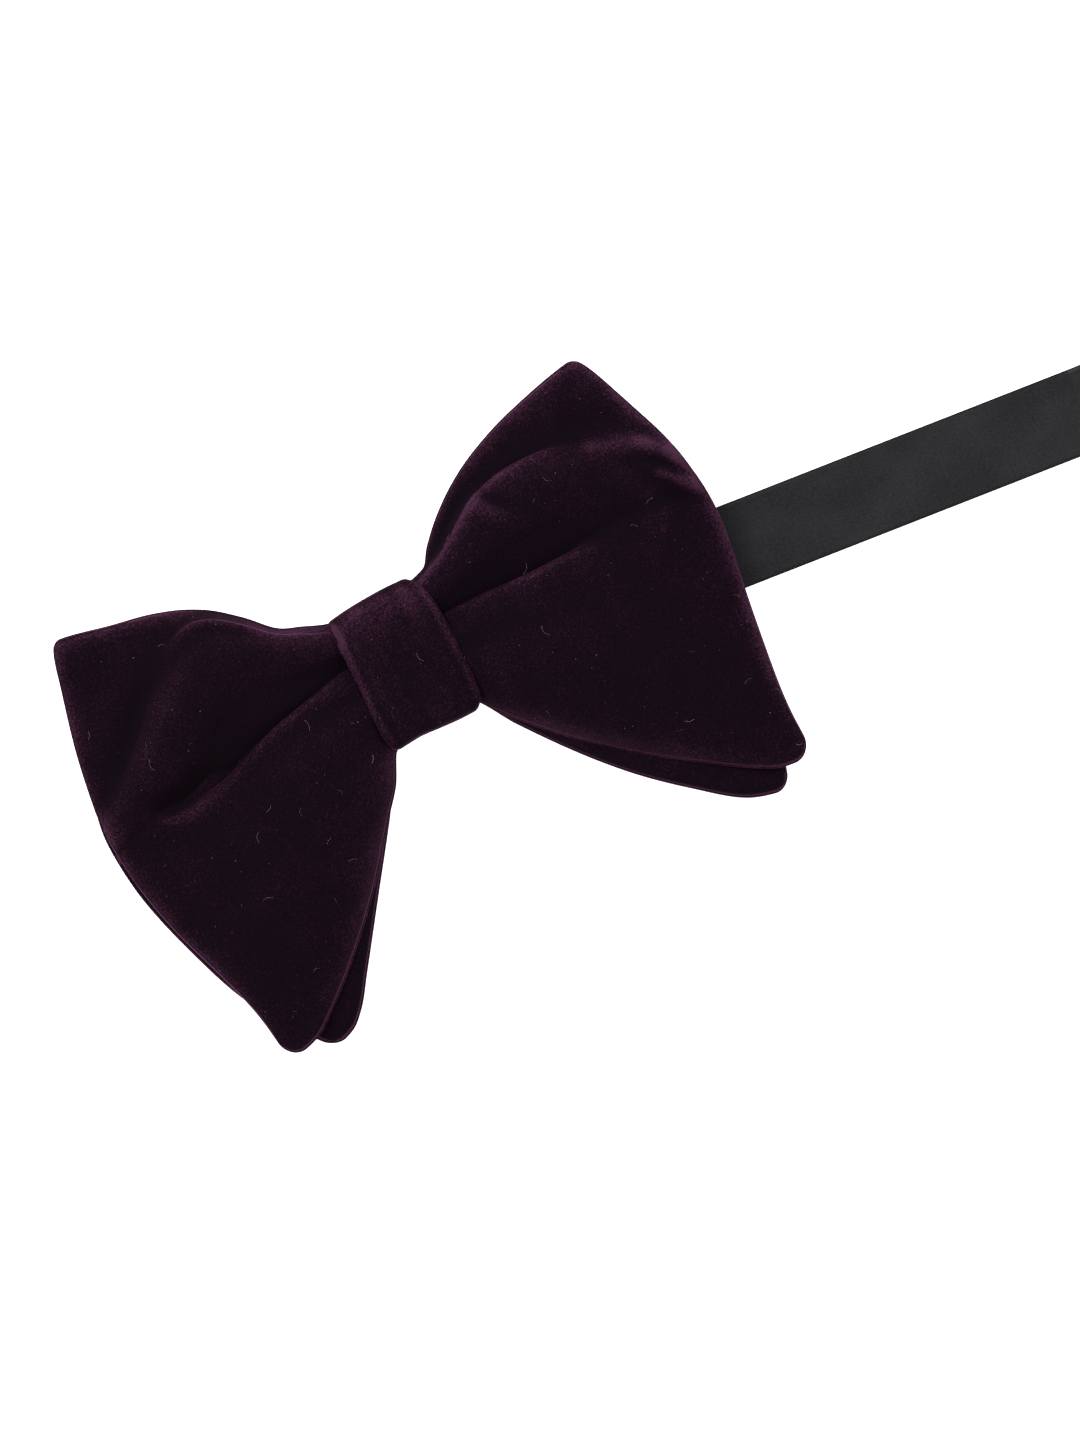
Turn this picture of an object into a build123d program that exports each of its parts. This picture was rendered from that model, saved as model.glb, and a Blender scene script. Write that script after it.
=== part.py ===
"""Pre-tied velvet bow tie lying on its back, with an adjustable satin neck band.

Millimetres. +X runs along the bow from the left wing to the right wing, +Y from the
bottom tips to the top corners, +Z from the resting surface to the front of the knot.
The origin is on the resting surface, in the middle of the knot's back.
The neck band has directions of its own: s along the band, t across it, z up.
"""
import os

from build123d import *

# ---- the two bows
VELVET = 1.1                # thickness of one velvet panel
FLEECE = 0.9                # thickness of the interlining between two panels
POUCH = 2 * VELVET + FLEECE
WAIST_TOP, WAIST_BOTTOM = 13.0, -12.4   # the pleated waist inside the knot
WAIST_X = 11.3
REAR_WAIST_Z = 4.3          # underside of the rear bow at its waist
FRONT_WAIST_Z = REAR_WAIST_Z + POUCH + 0.2
TOP_CORNER_R, TIP_R = 1.6, 4.2
THREAD = 0.44               # the strong thread bound round the waist
THREAD_GAP = 0.06

# ---- the knot, a velvet strip wrapped round the waist
KNOT_LEFT, KNOT_RIGHT = -11.0, 11.4
KNOT_TOP, KNOT_BOTTOM = 15.8, -15.2
KNOT_LOW, KNOT_HIGH = 0.0, 13.8
KNOT_VELVET, KNOT_CANVAS = 1.2, 0.6
KNOT_CORNER_R = 4.0
SEAM_X = 3.2                # the closing seam on the knot's back
SEAM_DEPTH = 0.3
STITCH_D = 0.16

# ---- the neck band
BAND_ANGLE = -8.6           # the band lies a little askew behind the bow
BAND_Y = -2.1               # where its middle crosses the knot
BAND_WIDTH = 18.2
BAND_T = 0.8                # a satin tube, pressed flat over its interlining
SATIN = 0.24
PLY_GAP = 0.04              # between two plies that lie on each other
LOW_Z = BAND_T / 2          # middle of a ply that lies on the resting surface
PLY = BAND_T + PLY_GAP
KNOT_Z = 3.3                # middle of the band inside the knot
SPLIT_S = 82.0              # where the fixed stretch meets the one that adjusts
EYE_S = -57.0               # the bar of the eye
ADJUSTER_S = 166.0          # the middle bar of the adjuster, at the shortest setting
HOOK_S = 281.0              # the bar of the hook, at the shortest setting
TURN_BACK = 9.0             # the stitched turn-backs

# ---- the metal fittings
METAL = 0.9                 # thickness of the sheet and of the bars
TURN_R = METAL / 2 + 0.06 + BAND_T / 2  # middle of a ply that goes round a bar
FITTING_W = 21.4
ARM = 1.25                  # width of a side arm beside a slot
SLOT = 3.1                  # from the middle of a bar to the plate's edge
BODY_L = 3.6
TONGUE_W, TONGUE_L = 5.0, 5.6
TONGUE_GAP = 1.5
WINDOW_L, WINDOW_W = 5.6, 8.4
ADJUSTER_HALF = 8.0
END_BAR = 1.7

NODES = {}


def keep(name, shape):
    """Files a finished piece under its node name."""
    NODES[name] = shape


def rise(value, start, end):
    """0 before start, 1 after end, and a smooth climb between them."""
    share = min(1.0, max(0.0, (value - start) / (end - start)))
    return share * share * (3 - 2 * share)


# ------------------------------------------------------------------ the two bows
def rear_height(x, y):
    """Underside of the rear bow: it arches over the band and rests on its bottom tips."""
    arch = 1.5 * rise(abs(x), 12, 40)
    tip = 5.7 * rise(-y, 24, 56) + 2.6 * rise(y, 18, 36)
    return REAR_WAIST_Z + arch - tip * rise(abs(x), 14, 50)


def front_height(x, y):
    """Underside of the front bow: it bulges beside the knot and falls to its tips."""
    bulge = 4.6 * rise(abs(x), 11, 34) - 2.4 * rise(abs(x), 46, 74)
    tip = 3.6 * rise(-y, 20, 58) + 2.6 * rise(y, 16, 38)
    return FRONT_WAIST_Z + bulge - tip * rise(abs(x), 14, 50)


def height_face(height):
    """A smooth face that follows a height function over the whole bow."""
    rows = [
        [Vector(x, y, height(x, y)) for y in range(-68, 49, 9)]
        for x in range(-80, 81, 8)
    ]
    return Face.make_surface_from_array_of_points(rows, tol=0.02)


def bow_outline(wings):
    """The flat outline of a bow. Each wing has a top, an outer and a bottom edge."""
    edges = []
    corners = []
    for side, (top, outer, bottom) in wings.items():
        edges += [
            Spline([(side * WAIST_X, WAIST_TOP), *top]),
            Spline([top[-1], *outer]),
            Spline([outer[-1], *bottom, (side * WAIST_X, WAIST_BOTTOM)]),
        ]
        corners += [(top[-1], TOP_CORNER_R), (outer[-1], TIP_R)]
    for y in (WAIST_TOP, WAIST_BOTTOM):
        edges.append(Line((-WAIST_X, y), (WAIST_X, y)))
    face = make_face(edges)
    for point, radius in corners:
        vertex = face.vertices().sort_by_distance((*point, 0))[0]
        face = fillet(vertex, radius)
    return face


FRONT_WINGS = {
    1: (
        [(14.5, 16.8), (20, 22), (30, 29.2), (45, 34.9), (65, 38.6)],
        [(70, 18), (73.3, 1), (70.3, -22), (66, -43), (66.2, -60.4)],
        [(45, -49.8), (30, -37.5), (17, -24.3)],
    ),
    -1: (
        [(-14.5, 17), (-20, 20.4), (-30, 30.3), (-40, 35.5), (-63.6, 41.4)],
        [(-69, 17), (-72.5, -4), (-69.5, -27), (-64, -45), (-63, -60.8)],
        [(-45, -51.8), (-30, -38.3), (-17, -23.6)],
    ),
}
REAR_WINGS = {
    1: (
        [(14.5, 15.6), (22, 20), (32, 27), (46, 31.6), (62, 34.4)],
        [(68.5, 16), (72, -2), (69.6, -24), (64, -46), (58.9, -64.4)],
        [(45, -57.5), (30, -43.3), (17, -26)],
    ),
    -1: (
        [(-14.5, 15.6), (-22, 19.4), (-32, 28), (-45, 33.4), (-60, 37)],
        [(-69, 14), (-73.4, -6), (-70, -28), (-64, -47), (-55.2, -64)],
        [(-40, -52.6), (-30, -40), (-17, -23.4)],
    ),
}


def bow(prefix, wings, height):
    """Back velvet, fleece and face velvet of one bow, each a curved layer of the same cut."""
    ground = height_face(height)
    cut = extrude(Pos(0, 0, -5) * bow_outline(wings), 40)
    low = 0.0
    for name, thick in (("back", VELVET), ("interlining", FLEECE), ("face", VELVET)):
        slab = extrude(Pos(0, 0, low) * ground, thick, dir=(0, 0, 1))
        keep(f"{prefix}_{name}", slab & cut)
        low += thick


# ------------------------------------------------------------------ waist and knot
def tube_round_waist(left, right, box, radius, wall):
    """A tube along X. box is (bottom, top, low, high), its outside in Y and Z."""
    bottom, top, low, high = box
    plane = Pos(left, (top + bottom) / 2, (high + low) / 2) * Rot(0, 90, 0) * Rot(0, 0, 90)
    wide, tall = top - bottom, high - low
    outer = RectangleRounded(wide, tall, radius)
    inner = RectangleRounded(wide - 2 * wall, tall - 2 * wall, radius - wall)
    return extrude(plane * (outer - inner), right - left, dir=(1, 0, 0))


def knot():
    """The wrap, with its closing seam sunk in the back, and the canvas inside it."""
    outside = (KNOT_BOTTOM, KNOT_TOP, KNOT_LOW, KNOT_HIGH)
    wrap = tube_round_waist(KNOT_LEFT, KNOT_RIGHT, outside, KNOT_CORNER_R, KNOT_VELVET)
    rims = [e for e in wrap.edges() if e.center().Z > KNOT_HIGH - 0.1]
    wrap = fillet([e for e in rims if abs(e.tangent_at(0.5).X) < 0.1], 0.5)
    middle = (KNOT_TOP + KNOT_BOTTOM) / 2
    seam = Box(2.2, KNOT_TOP - KNOT_BOTTOM - 2 * KNOT_CORNER_R, 2 * SEAM_DEPTH)
    keep("knot_wrap", wrap - Pos(SEAM_X, middle, KNOT_LOW) * seam)
    inside = (
        KNOT_BOTTOM + KNOT_VELVET,
        KNOT_TOP - KNOT_VELVET,
        KNOT_LOW + KNOT_VELVET,
        KNOT_HIGH - KNOT_VELVET,
    )
    radius = KNOT_CORNER_R - KNOT_VELVET
    canvas = tube_round_waist(KNOT_LEFT + 1.2, KNOT_RIGHT - 1.2, inside, radius, KNOT_CANVAS)
    keep("knot_canvas", canvas)


def knot_closing_stitches(count=7):
    """Slip stitches across the seam that closes the wrap on the knot's back."""
    pitch = 2.7
    start = (KNOT_TOP + KNOT_BOTTOM) / 2 - pitch * (count - 1) / 2
    stitch = Rot(0, 90, 0) * Cylinder(STITCH_D / 2, 1.6)
    row = [Pos(SEAM_X, start + pitch * i, SEAM_DEPTH - STITCH_D / 2) * stitch for i in range(count)]
    keep("knot_closing_stitches", Compound(row))


def waist_binding_thread(turns=6):
    """Turns of strong thread that hold the pleats of both bows together."""
    around = THREAD + THREAD_GAP
    box = (
        WAIST_BOTTOM - around,
        WAIST_TOP + around,
        REAR_WAIST_Z - around,
        FRONT_WAIST_Z + POUCH + around,
    )
    rings = []
    for i in range(turns):
        left = (i - turns / 2) * 0.62
        rings.append(tube_round_waist(left, left + THREAD, box, THREAD * 1.3, THREAD))
    keep("waist_binding_thread", Compound(rings))


# ------------------------------------------------------------------ the neck band
def on_band(shape):
    """Puts a piece made in the band's directions (s, t, z) into the part's frame."""
    return Pos(0, BAND_Y, 0) * Rot(0, 0, BAND_ANGLE) * shape


def ribbon(points, radii, thickness, width):
    """A flat strip that follows a side-view route of (s, z) points with rounded corners."""
    route = FilletPolyline(*points, radius=radii) if radii else Line(*points)
    strip = Rot(90, 0, 0) * trace(route, line_width=thickness)
    return extrude(Pos(0, width / 2, 0) * strip, width, dir=(0, -1, 0))


def stretch(name, points, radii=None):
    """One stretch of band: the satin tube, open at both ends, and the interlining in it."""
    whole = ribbon(points, radii, BAND_T, BAND_WIDTH)
    core = ribbon(points, radii, BAND_T - 2 * SATIN, BAND_WIDTH - 2 * SATIN)
    keep(f"{name}_satin", on_band(whole - core))
    keep(f"{name}_interlining", on_band(core))


def bar_tack(name, s, z, rows=2, count=9):
    """Rows of short stitches across the band, lying on the satin at height z."""
    pitch = (BAND_WIDTH - 3) / (count - 1)
    stitch = Rot(90, 0, 0) * Cylinder(STITCH_D / 2, pitch * 0.7)
    stitches = [
        Pos(s + 0.9 * row, (i - (count - 1) / 2) * pitch, z + STITCH_D / 2) * stitch
        for row in range(rows)
        for i in range(count)
    ]
    keep(name, on_band(Compound(stitches)))


def turn(bar_s, away, low, free):
    """Route round a bar. away is the side that the band comes from, +1 or -1.

    It starts where the upper ply ends, free from the bar, and ends on the lower ply.
    """
    upper = low + PLY
    top = low + 2 * TURN_R
    points = [
        (bar_s + away * free, upper),
        (bar_s + away * 4.6, upper),
        (bar_s + away * 1.6, top),
        (bar_s - away * TURN_R, top),
        (bar_s - away * TURN_R, low),
    ]
    return points, [1.4, 1.4, TURN_R - 0.01, TURN_R - 0.01]


def fixed_stretch():
    """From the eye, under the left wing, through the knot and out under the right wing."""
    points, radii = turn(EYE_S, 1, LOW_Z, TURN_BACK)
    points += [
        (-25, LOW_Z),
        (-17, KNOT_Z),
        (17, KNOT_Z),
        (25, LOW_Z),
        (SPLIT_S, LOW_Z),
    ]
    stretch("fixed_band", points, radii + [8, 8, 8, 8])
    bar_tack("eye_bar_tack", EYE_S + 6.4, LOW_Z + PLY + BAND_T / 2)


def adjuster_levels():
    """Heights at the adjuster: end ply, long ply, the middle of the plate, and the crossing."""
    end_ply = LOW_Z + PLY
    long_ply = end_ply + PLY
    plate = long_ply + BAND_T / 2 + 0.08 + METAL / 2
    crossing = plate + TURN_R + PLY
    return end_ply, long_ply, plate, crossing


def adjustable_stretches():
    """The long ply, its passage through the adjuster, and the tail that comes back."""
    end_ply, long_ply, plate, crossing = adjuster_levels()
    near, far = ADJUSTER_S - 16, ADJUSTER_S + 16
    upper = LOW_Z + PLY
    stretch("long_band", [(SPLIT_S, LOW_Z), (near, LOW_Z)])
    points = [
        (near, LOW_Z),
        (near + 3, LOW_Z),
        (ADJUSTER_S - 9.2, long_ply),
        (ADJUSTER_S - 5.8, long_ply),
        (ADJUSTER_S - 2.4, crossing),
        (ADJUSTER_S + 2.4, crossing),
        (ADJUSTER_S + 5.8, long_ply),
        (ADJUSTER_S + 9.4, long_ply),
        (far - 3.4, upper),
        (far, upper),
    ]
    stretch("crossing_band", points, [2, 2, 0.9, 0.9, 0.9, 0.9, 1.6, 1.6])
    points = [
        (ADJUSTER_S + TURN_BACK, end_ply),
        (ADJUSTER_S + 3.6, end_ply),
        (ADJUSTER_S + 1.5, plate + TURN_R),
        (ADJUSTER_S - TURN_R, plate + TURN_R),
        (ADJUSTER_S - TURN_R, plate - TURN_R),
        (ADJUSTER_S + 1.2, LOW_Z),
        (far, LOW_Z),
    ]
    stretch("tail_end", points, [0.9, 0.9, TURN_R - 0.01, TURN_R * 0.6, 1.4])
    hook_near = HOOK_S - TURN_BACK - 3
    stretch("doubled_band", [(far, upper), (hook_near, upper)])
    stretch("tail_band", [(far, LOW_Z), (hook_near, LOW_Z)])
    points, radii = turn(HOOK_S, -1, LOW_Z, TURN_BACK + 3)
    points.append((hook_near, LOW_Z))
    stretch("hook_turn", points, radii)


# ------------------------------------------------------------------ the metal fittings
def plate_at(s_from, s_to, width, z):
    """A flat plate between two places along the band."""
    return Pos((s_from + s_to) / 2, 0, z) * Box(s_to - s_from, width, METAL)


def bar(s, z):
    """A round bar across the band."""
    return Pos(s, 0, z) * Rot(90, 0, 0) * Cylinder(METAL / 2, FITTING_W - ARM)


def fitting(length, z):
    """A plate along +s with a round bar at s = 0 and a slot for the band beside it."""
    plate = plate_at(0, SLOT + length, FITTING_W, z)
    corners = plate.edges().filter_by(Axis.Z)
    plate = fillet(corners.group_by(Axis.X)[-1], 2.2)
    plate -= plate_at(-1, SLOT, FITTING_W - 2 * ARM, z)
    return plate + bar(0, z)


def eye():
    """The eye: a plate with a window that the tongue of the hook goes into."""
    z = LOW_Z + TURN_R
    length = WINDOW_L + 2 * 1.5
    plate = fitting(length, z)
    window = Pos(SLOT + 1.5 + WINDOW_L / 2, 0, z) * Box(WINDOW_L, WINDOW_W, 2 * METAL)
    plate -= fillet(window.edges().filter_by(Axis.Z), 0.8)
    keep("eye", on_band(Pos(EYE_S, 0, 0) * Rot(0, 0, 180) * plate))


def hook():
    """The hook: a plate with a tongue that is bent up and back over itself."""
    z = LOW_Z + TURN_R
    tip = SLOT + BODY_L + TONGUE_L
    back = z + METAL + TONGUE_GAP
    bend = (back - z) / 2 - 0.01
    route = [(SLOT + 1, z), (tip, z), (tip, back), (tip - 4.4, back)]
    tongue = ribbon(route, [bend, bend], METAL, TONGUE_W)
    keep("hook", on_band(Pos(HOOK_S, 0, 0) * (fitting(BODY_L, z) + tongue)))


def adjuster():
    """The slider: a frame with two slots, and a round bar between them."""
    z = adjuster_levels()[2]
    frame = plate_at(-ADJUSTER_HALF, ADJUSTER_HALF, FITTING_W, z)
    frame = fillet(frame.edges().filter_by(Axis.Z), 1.6)
    inner = ADJUSTER_HALF - END_BAR
    frame -= plate_at(-inner, inner, FITTING_W - 2 * ARM, z)
    keep("adjuster", on_band(Pos(ADJUSTER_S, 0, 0) * (frame + bar(0, z))))


bow("rear_bow", REAR_WINGS, rear_height)
bow("front_bow", FRONT_WINGS, front_height)
knot()
knot_closing_stitches()
waist_binding_thread()
fixed_stretch()
adjustable_stretches()
eye()
hook()
adjuster()

os.makedirs("parts", exist_ok=True)
for name, shape in NODES.items():
    export_step(shape, f"parts/{name}.step")
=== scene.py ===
import math

import bpy
import numpy as np
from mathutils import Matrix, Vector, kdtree


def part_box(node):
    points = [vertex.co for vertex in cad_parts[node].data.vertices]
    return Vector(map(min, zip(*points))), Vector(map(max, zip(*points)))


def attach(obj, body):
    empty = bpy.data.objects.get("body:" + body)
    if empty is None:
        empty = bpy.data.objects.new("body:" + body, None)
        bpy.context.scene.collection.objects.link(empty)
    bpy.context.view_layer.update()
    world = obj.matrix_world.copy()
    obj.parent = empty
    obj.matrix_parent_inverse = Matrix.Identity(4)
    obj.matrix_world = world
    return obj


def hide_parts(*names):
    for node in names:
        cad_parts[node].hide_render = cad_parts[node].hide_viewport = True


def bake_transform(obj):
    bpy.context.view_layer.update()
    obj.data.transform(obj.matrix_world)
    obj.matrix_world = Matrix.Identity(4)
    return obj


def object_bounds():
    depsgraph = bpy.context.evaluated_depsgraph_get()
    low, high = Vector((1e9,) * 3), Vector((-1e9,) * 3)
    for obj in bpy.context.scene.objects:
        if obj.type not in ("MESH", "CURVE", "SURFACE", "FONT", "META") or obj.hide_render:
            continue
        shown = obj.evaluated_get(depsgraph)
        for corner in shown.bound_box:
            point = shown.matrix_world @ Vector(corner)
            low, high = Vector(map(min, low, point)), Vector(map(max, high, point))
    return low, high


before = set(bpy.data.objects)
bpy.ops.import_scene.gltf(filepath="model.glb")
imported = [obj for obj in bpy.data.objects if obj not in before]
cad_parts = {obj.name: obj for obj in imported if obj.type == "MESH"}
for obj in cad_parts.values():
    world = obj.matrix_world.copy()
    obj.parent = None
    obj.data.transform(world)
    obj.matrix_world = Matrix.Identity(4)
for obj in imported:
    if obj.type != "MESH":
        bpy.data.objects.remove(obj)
cadLow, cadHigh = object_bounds()
mm = 0.001


def ease(value, start, end):
    share = np.clip((value - start) / (end - start), 0.0, 1.0)
    return share * share * (3 - 2 * share)


# a smooth curve y(x) through a few points
def through(*points):
    xs, ys = np.array(sorted(points), float).T
    slopes = np.gradient(ys, xs)

    def value(x):
        x = np.clip(np.asarray(x, float), xs[0], xs[-1])
        i = np.clip(np.searchsorted(xs, x) - 1, 0, len(xs) - 2)
        h = xs[i + 1] - xs[i]
        t = (x - xs[i]) / h
        start = (1 + 2 * t) * (1 - t) ** 2 * ys[i] + t * (1 - t) ** 2 * h * slopes[i]
        return start + t * t * (3 - 2 * t) * ys[i + 1] + t * t * (t - 1) * h * slopes[i + 1]

    return value


# weights of a clamped cubic B-spline with this many control points
def splineWeights(controls, samples):
    knots = np.concatenate([[0] * 3, np.linspace(0, 1, controls - 2), [1] * 3])
    at = np.clip(samples, 0, 1 - 1e-9)
    weights = [(at >= knots[i]) & (at < knots[i + 1]) for i in range(len(knots) - 1)]
    weights = np.array(weights, float).T
    for degree in (1, 2, 3):
        count = len(knots) - 1 - degree
        raised = np.zeros((len(at), count))
        for i in range(count):
            left, right = knots[i + degree] - knots[i], knots[i + degree + 1] - knots[i + 1]
            if left > 0:
                raised[:, i] += (at - knots[i]) / left * weights[:, i]
            if right > 0:
                raised[:, i] += (knots[i + degree + 1] - at) / right * weights[:, i + 1]
        weights = raised
    return weights


# spline samples that lie nearly evenly along the profiles, a little closer where controls crowd
def evenSamples(profiles, count):
    dense = np.linspace(0, 1, 1500)
    weights = splineWeights(profiles.shape[1], dense)
    lengths = np.zeros(len(dense))
    for share in (0.3, 0.6, 0.9):
        line = weights @ profiles[int(share * len(profiles))]
        steps = np.linalg.norm(np.diff(line, axis=0), axis=1)
        lengths[1:] += np.cumsum(steps) / steps.sum() / 3
    return np.interp(np.linspace(0, 1, count), 0.75 * lengths + 0.25 * dense, dense)


def addMesh(name, points, faces, material, body="bow"):
    mesh = bpy.data.meshes.new(name)
    mesh.from_pydata([tuple(p) for p in np.asarray(points) * mm], [], faces)
    mesh.update()
    # a closed shell turned inside out has a negative volume
    mesh.calc_loop_triangles()
    corners = np.array([t.vertices[:] for t in mesh.loop_triangles])
    a, b, c = (np.asarray(points)[corners[:, k]] for k in range(3))
    if np.einsum("ij,ij->", a, np.cross(b, c)) < 0:
        mesh.flip_normals()
    mesh.polygons.foreach_set("use_smooth", [True] * len(mesh.polygons))
    piece = bpy.data.objects.new(name, mesh)
    bpy.context.scene.collection.objects.link(piece)
    piece.data.materials.append(material)
    if body:
        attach(piece, body)
    return piece


# quads of a grid of rows x columns of points, numbered row by row from first
def gridFaces(rows, columns, first=0, flip=False, closed=False):
    faces = []
    for r in range(rows - 1):
        for c in range(columns if closed else columns - 1):
            d = (c + 1) % columns
            quad = (
                first + r * columns + c,
                first + r * columns + d,
                first + (r + 1) * columns + d,
                first + (r + 1) * columns + c,
            )
            faces.append(quad[::-1] if flip else quad)
    return faces


# Nodes: the materials and the Geometry Nodes trees are built with these.
def nodeTree(name):
    material = bpy.data.materials.new(name)
    material.use_nodes = True
    tree = material.node_tree
    return material, tree, tree.nodes["Principled BSDF"]


# a socket takes a plain value, another socket, or the first output of a node
def plug(tree, socket, value):
    if isinstance(value, bpy.types.Node):
        value = value.outputs[0]
    if isinstance(value, bpy.types.NodeSocket):
        tree.links.new(value, socket)
    else:
        socket.default_value = value


def addNode(tree, kind, inputs=None, **settings):
    node = tree.nodes.new(kind)
    for key, value in settings.items():
        setattr(node, key, value)
    for key, value in (inputs or {}).items():
        plug(tree, node.inputs[key], value)
    return node


def maths(tree, operation, *values):
    return addNode(tree, "ShaderNodeMath", dict(enumerate(values)), operation=operation)


def stretched(tree, vector, scales):
    return addNode(tree, "ShaderNodeVectorMath", {0: vector, 1: scales}, operation="MULTIPLY")


def noise(tree, vector, scale, detail, roughness):
    values = {"Vector": vector, "Scale": scale, "Detail": detail, "Roughness": roughness}
    return addNode(tree, "ShaderNodeTexNoise", values)


def mixed(tree, share, first, second, **settings):
    node = addNode(tree, "ShaderNodeMix", {"Factor": share}, data_type="RGBA", **settings)
    plug(tree, node.inputs[6], first)
    plug(tree, node.inputs[7], second)
    return node.outputs[2]


def objectPlace(tree):
    return addNode(tree, "ShaderNodeTexCoord").outputs["Object"]


def attribute(tree, name, output):
    return addNode(tree, "ShaderNodeAttribute", attribute_name=name).outputs[output]


def bump(tree, surface, height, strength, distance):
    values = {"Strength": strength, "Distance": distance, "Height": height}
    tree.links.new(addNode(tree, "ShaderNodeBump", values).outputs["Normal"], surface.inputs["Normal"])


def setSurface(surface, **values):
    for name, value in values.items():
        surface.inputs[name.replace("_", " ")].default_value = value


# uneven tone, shared by satin, metal and thread: noise, and a mask that spreads it from Low to High
def mottleGroup():
    group = bpy.data.node_groups.new("mottle", "ShaderNodeTree")
    group.interface.new_socket("Vector", in_out="INPUT", socket_type="NodeSocketVector")
    for name, value in (("Scale", 1.0), ("Detail", 4.0), ("Roughness", 0.6), ("Low", 0.3), ("High", 0.7)):
        socket = group.interface.new_socket(name, in_out="INPUT", socket_type="NodeSocketFloat")
        socket.default_value = value
    for name in ("Mask", "Noise"):
        group.interface.new_socket(name, in_out="OUTPUT", socket_type="NodeSocketFloat")
    given = group.nodes.new("NodeGroupInput").outputs
    plain = noise(group, given["Vector"], given["Scale"], given["Detail"], given["Roughness"]).outputs["Fac"]
    limits = {"Value": plain, "From Min": given["Low"], "From Max": given["High"]}
    mask = addNode(group, "ShaderNodeMapRange", limits).outputs["Result"]
    addNode(group, "NodeGroupOutput", {"Mask": mask, "Noise": plain})
    return group


mottle = mottleGroup()


def mottled(tree, vector, **values):
    inputs = {"Vector": vector} | {name.capitalize(): value for name, value in values.items()}
    return addNode(tree, "ShaderNodeGroup", inputs, node_tree=mottle).outputs


# painted light and shade: the cloth's colour is paler over a bend and on slopes that face the light, as a
# painted highlight, and darker in a hollow, as painted shade
def velvetMaterial():
    look = {
        # stops of the painted light: the darkest is painted shade in hollows, the next the plain cloth, the
        # two lightest a painted highlight over bends and slopes that face the light
        "closed": (0.0040, 0.0022, 0.0041, 1),
        "flat": (0.0046, 0.0017, 0.0042, 1),
        "bent": (0.0125, 0.0044, 0.0098, 1),
        "open": (0.0400, 0.0140, 0.0310, 1),
        "sheen": (0.85, 0.20, 0.62, 1),
        "patches": 0.6,
        "grain": 2.6,
        "flecks": 0.75,
    }
    material, tree, surface = nodeTree("plumVelvet")
    place = objectPlace(tree)
    # painted light and shade, stored on each point
    paintedLight = attribute(tree, "paintedLight", "Fac")
    patches = noise(tree, place, 105.0, 4.0, 0.6).outputs["Fac"]
    grain = noise(tree, place, 2500.0, 4.0, 0.8)
    patchesAndPaintedLight = maths(tree, "MULTIPLY_ADD", patches, look["patches"], -look["patches"] / 2)
    fibres = maths(tree, "MULTIPLY_ADD", grain.outputs["Fac"], look["grain"], -look["grain"] / 2)
    # painted light and shade, with random patches and fibres on top
    openness = maths(tree, "ADD", paintedLight, maths(tree, "ADD", patchesAndPaintedLight, fibres))
    ramp = addNode(tree, "ShaderNodeValToRGB", {"Fac": openness})
    stops = ramp.color_ramp.elements
    stops[0].position, stops[0].color = 0.0, look["closed"]
    stops[1].position, stops[1].color = 1.0, look["open"]
    for position, name in ((0.35, "flat"), (0.68, "bent")):
        stops.new(position).color = look[name]
    colour, flecks = ramp.outputs["Color"], grain.outputs["Color"]
    colour = mixed(tree, look["flecks"], colour, flecks, blend_type="OVERLAY")
    tree.links.new(colour, surface.inputs["Base Color"])
    bump(tree, surface, grain.outputs["Fac"], 0.3, 0.0002)
    setSurface(surface, Roughness=0.95, Specular_IOR_Level=0.03)
    setSurface(surface, Sheen_Weight=0.17, Sheen_Roughness=0.32, Sheen_Tint=look["sheen"])
    return material


# grain holds metres along and across the band
def satinMaterial():
    look = {
        "shade": (0.0036, 0.0035, 0.0044, 1),
        "light": (0.0158, 0.0158, 0.0188, 1),
        "edge": (0.0030, 0.0030, 0.0034, 1),
        "yarn": 2.8,
    }
    material, tree, surface = nodeTree("blackSatin")
    grain = attribute(tree, "grain", "Vector")
    patches = stretched(tree, grain, (62.0, 95.0, 1.0))
    tone = mottled(tree, patches, scale=1.0, detail=4.0, roughness=0.55, low=0.2, high=0.8)["Mask"]
    yarn = noise(tree, stretched(tree, grain, (1500.0, 3200.0, 1.0)), 1.0, 3.0, 0.7).outputs["Fac"]
    shade = maths(tree, "ADD", tone, maths(tree, "MULTIPLY_ADD", yarn, look["yarn"], -look["yarn"] / 2))
    colour = mixed(tree, shade, look["shade"], look["light"])
    # the pressed edges of the tube are darker
    aside = addNode(tree, "ShaderNodeSeparateXYZ", {"Vector": grain}).outputs["Y"]
    limits = {"Value": maths(tree, "ABSOLUTE", aside), "From Min": 0.0085, "From Max": 0.00895}
    edge = addNode(tree, "ShaderNodeMapRange", limits).outputs["Result"]
    tree.links.new(mixed(tree, edge, colour, look["edge"]), surface.inputs["Base Color"])
    bump(tree, surface, yarn, 0.25, 0.0001)
    setSurface(surface, Roughness=0.46, Specular_IOR_Level=0.16)
    return material


# blackened nickel: fine scratches and slightly worn, paler patches
def metalMaterial():
    look = {"dark": (0.035, 0.034, 0.036, 1), "worn": (0.13, 0.125, 0.12, 1), "roughness": (0.26, 0.46)}
    material, tree, surface = nodeTree("darkMetal")
    place = objectPlace(tree)
    wear = mottled(tree, place, scale=260.0, detail=6.0, roughness=0.65, low=0.42, high=0.72)["Mask"]
    scratches = noise(tree, stretched(tree, place, (700.0, 9000.0, 9000.0)), 1.0, 2.0, 0.5).outputs["Fac"]
    tree.links.new(mixed(tree, wear, look["dark"], look["worn"]), surface.inputs["Base Color"])
    limits = {"Value": scratches, "To Min": look["roughness"][0], "To Max": look["roughness"][1]}
    rough = addNode(tree, "ShaderNodeMapRange", limits).outputs["Result"]
    tree.links.new(rough, surface.inputs["Roughness"])
    bump(tree, surface, scratches, 0.15, 0.00005)
    setSurface(surface, Metallic=1.0)
    return material


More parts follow.
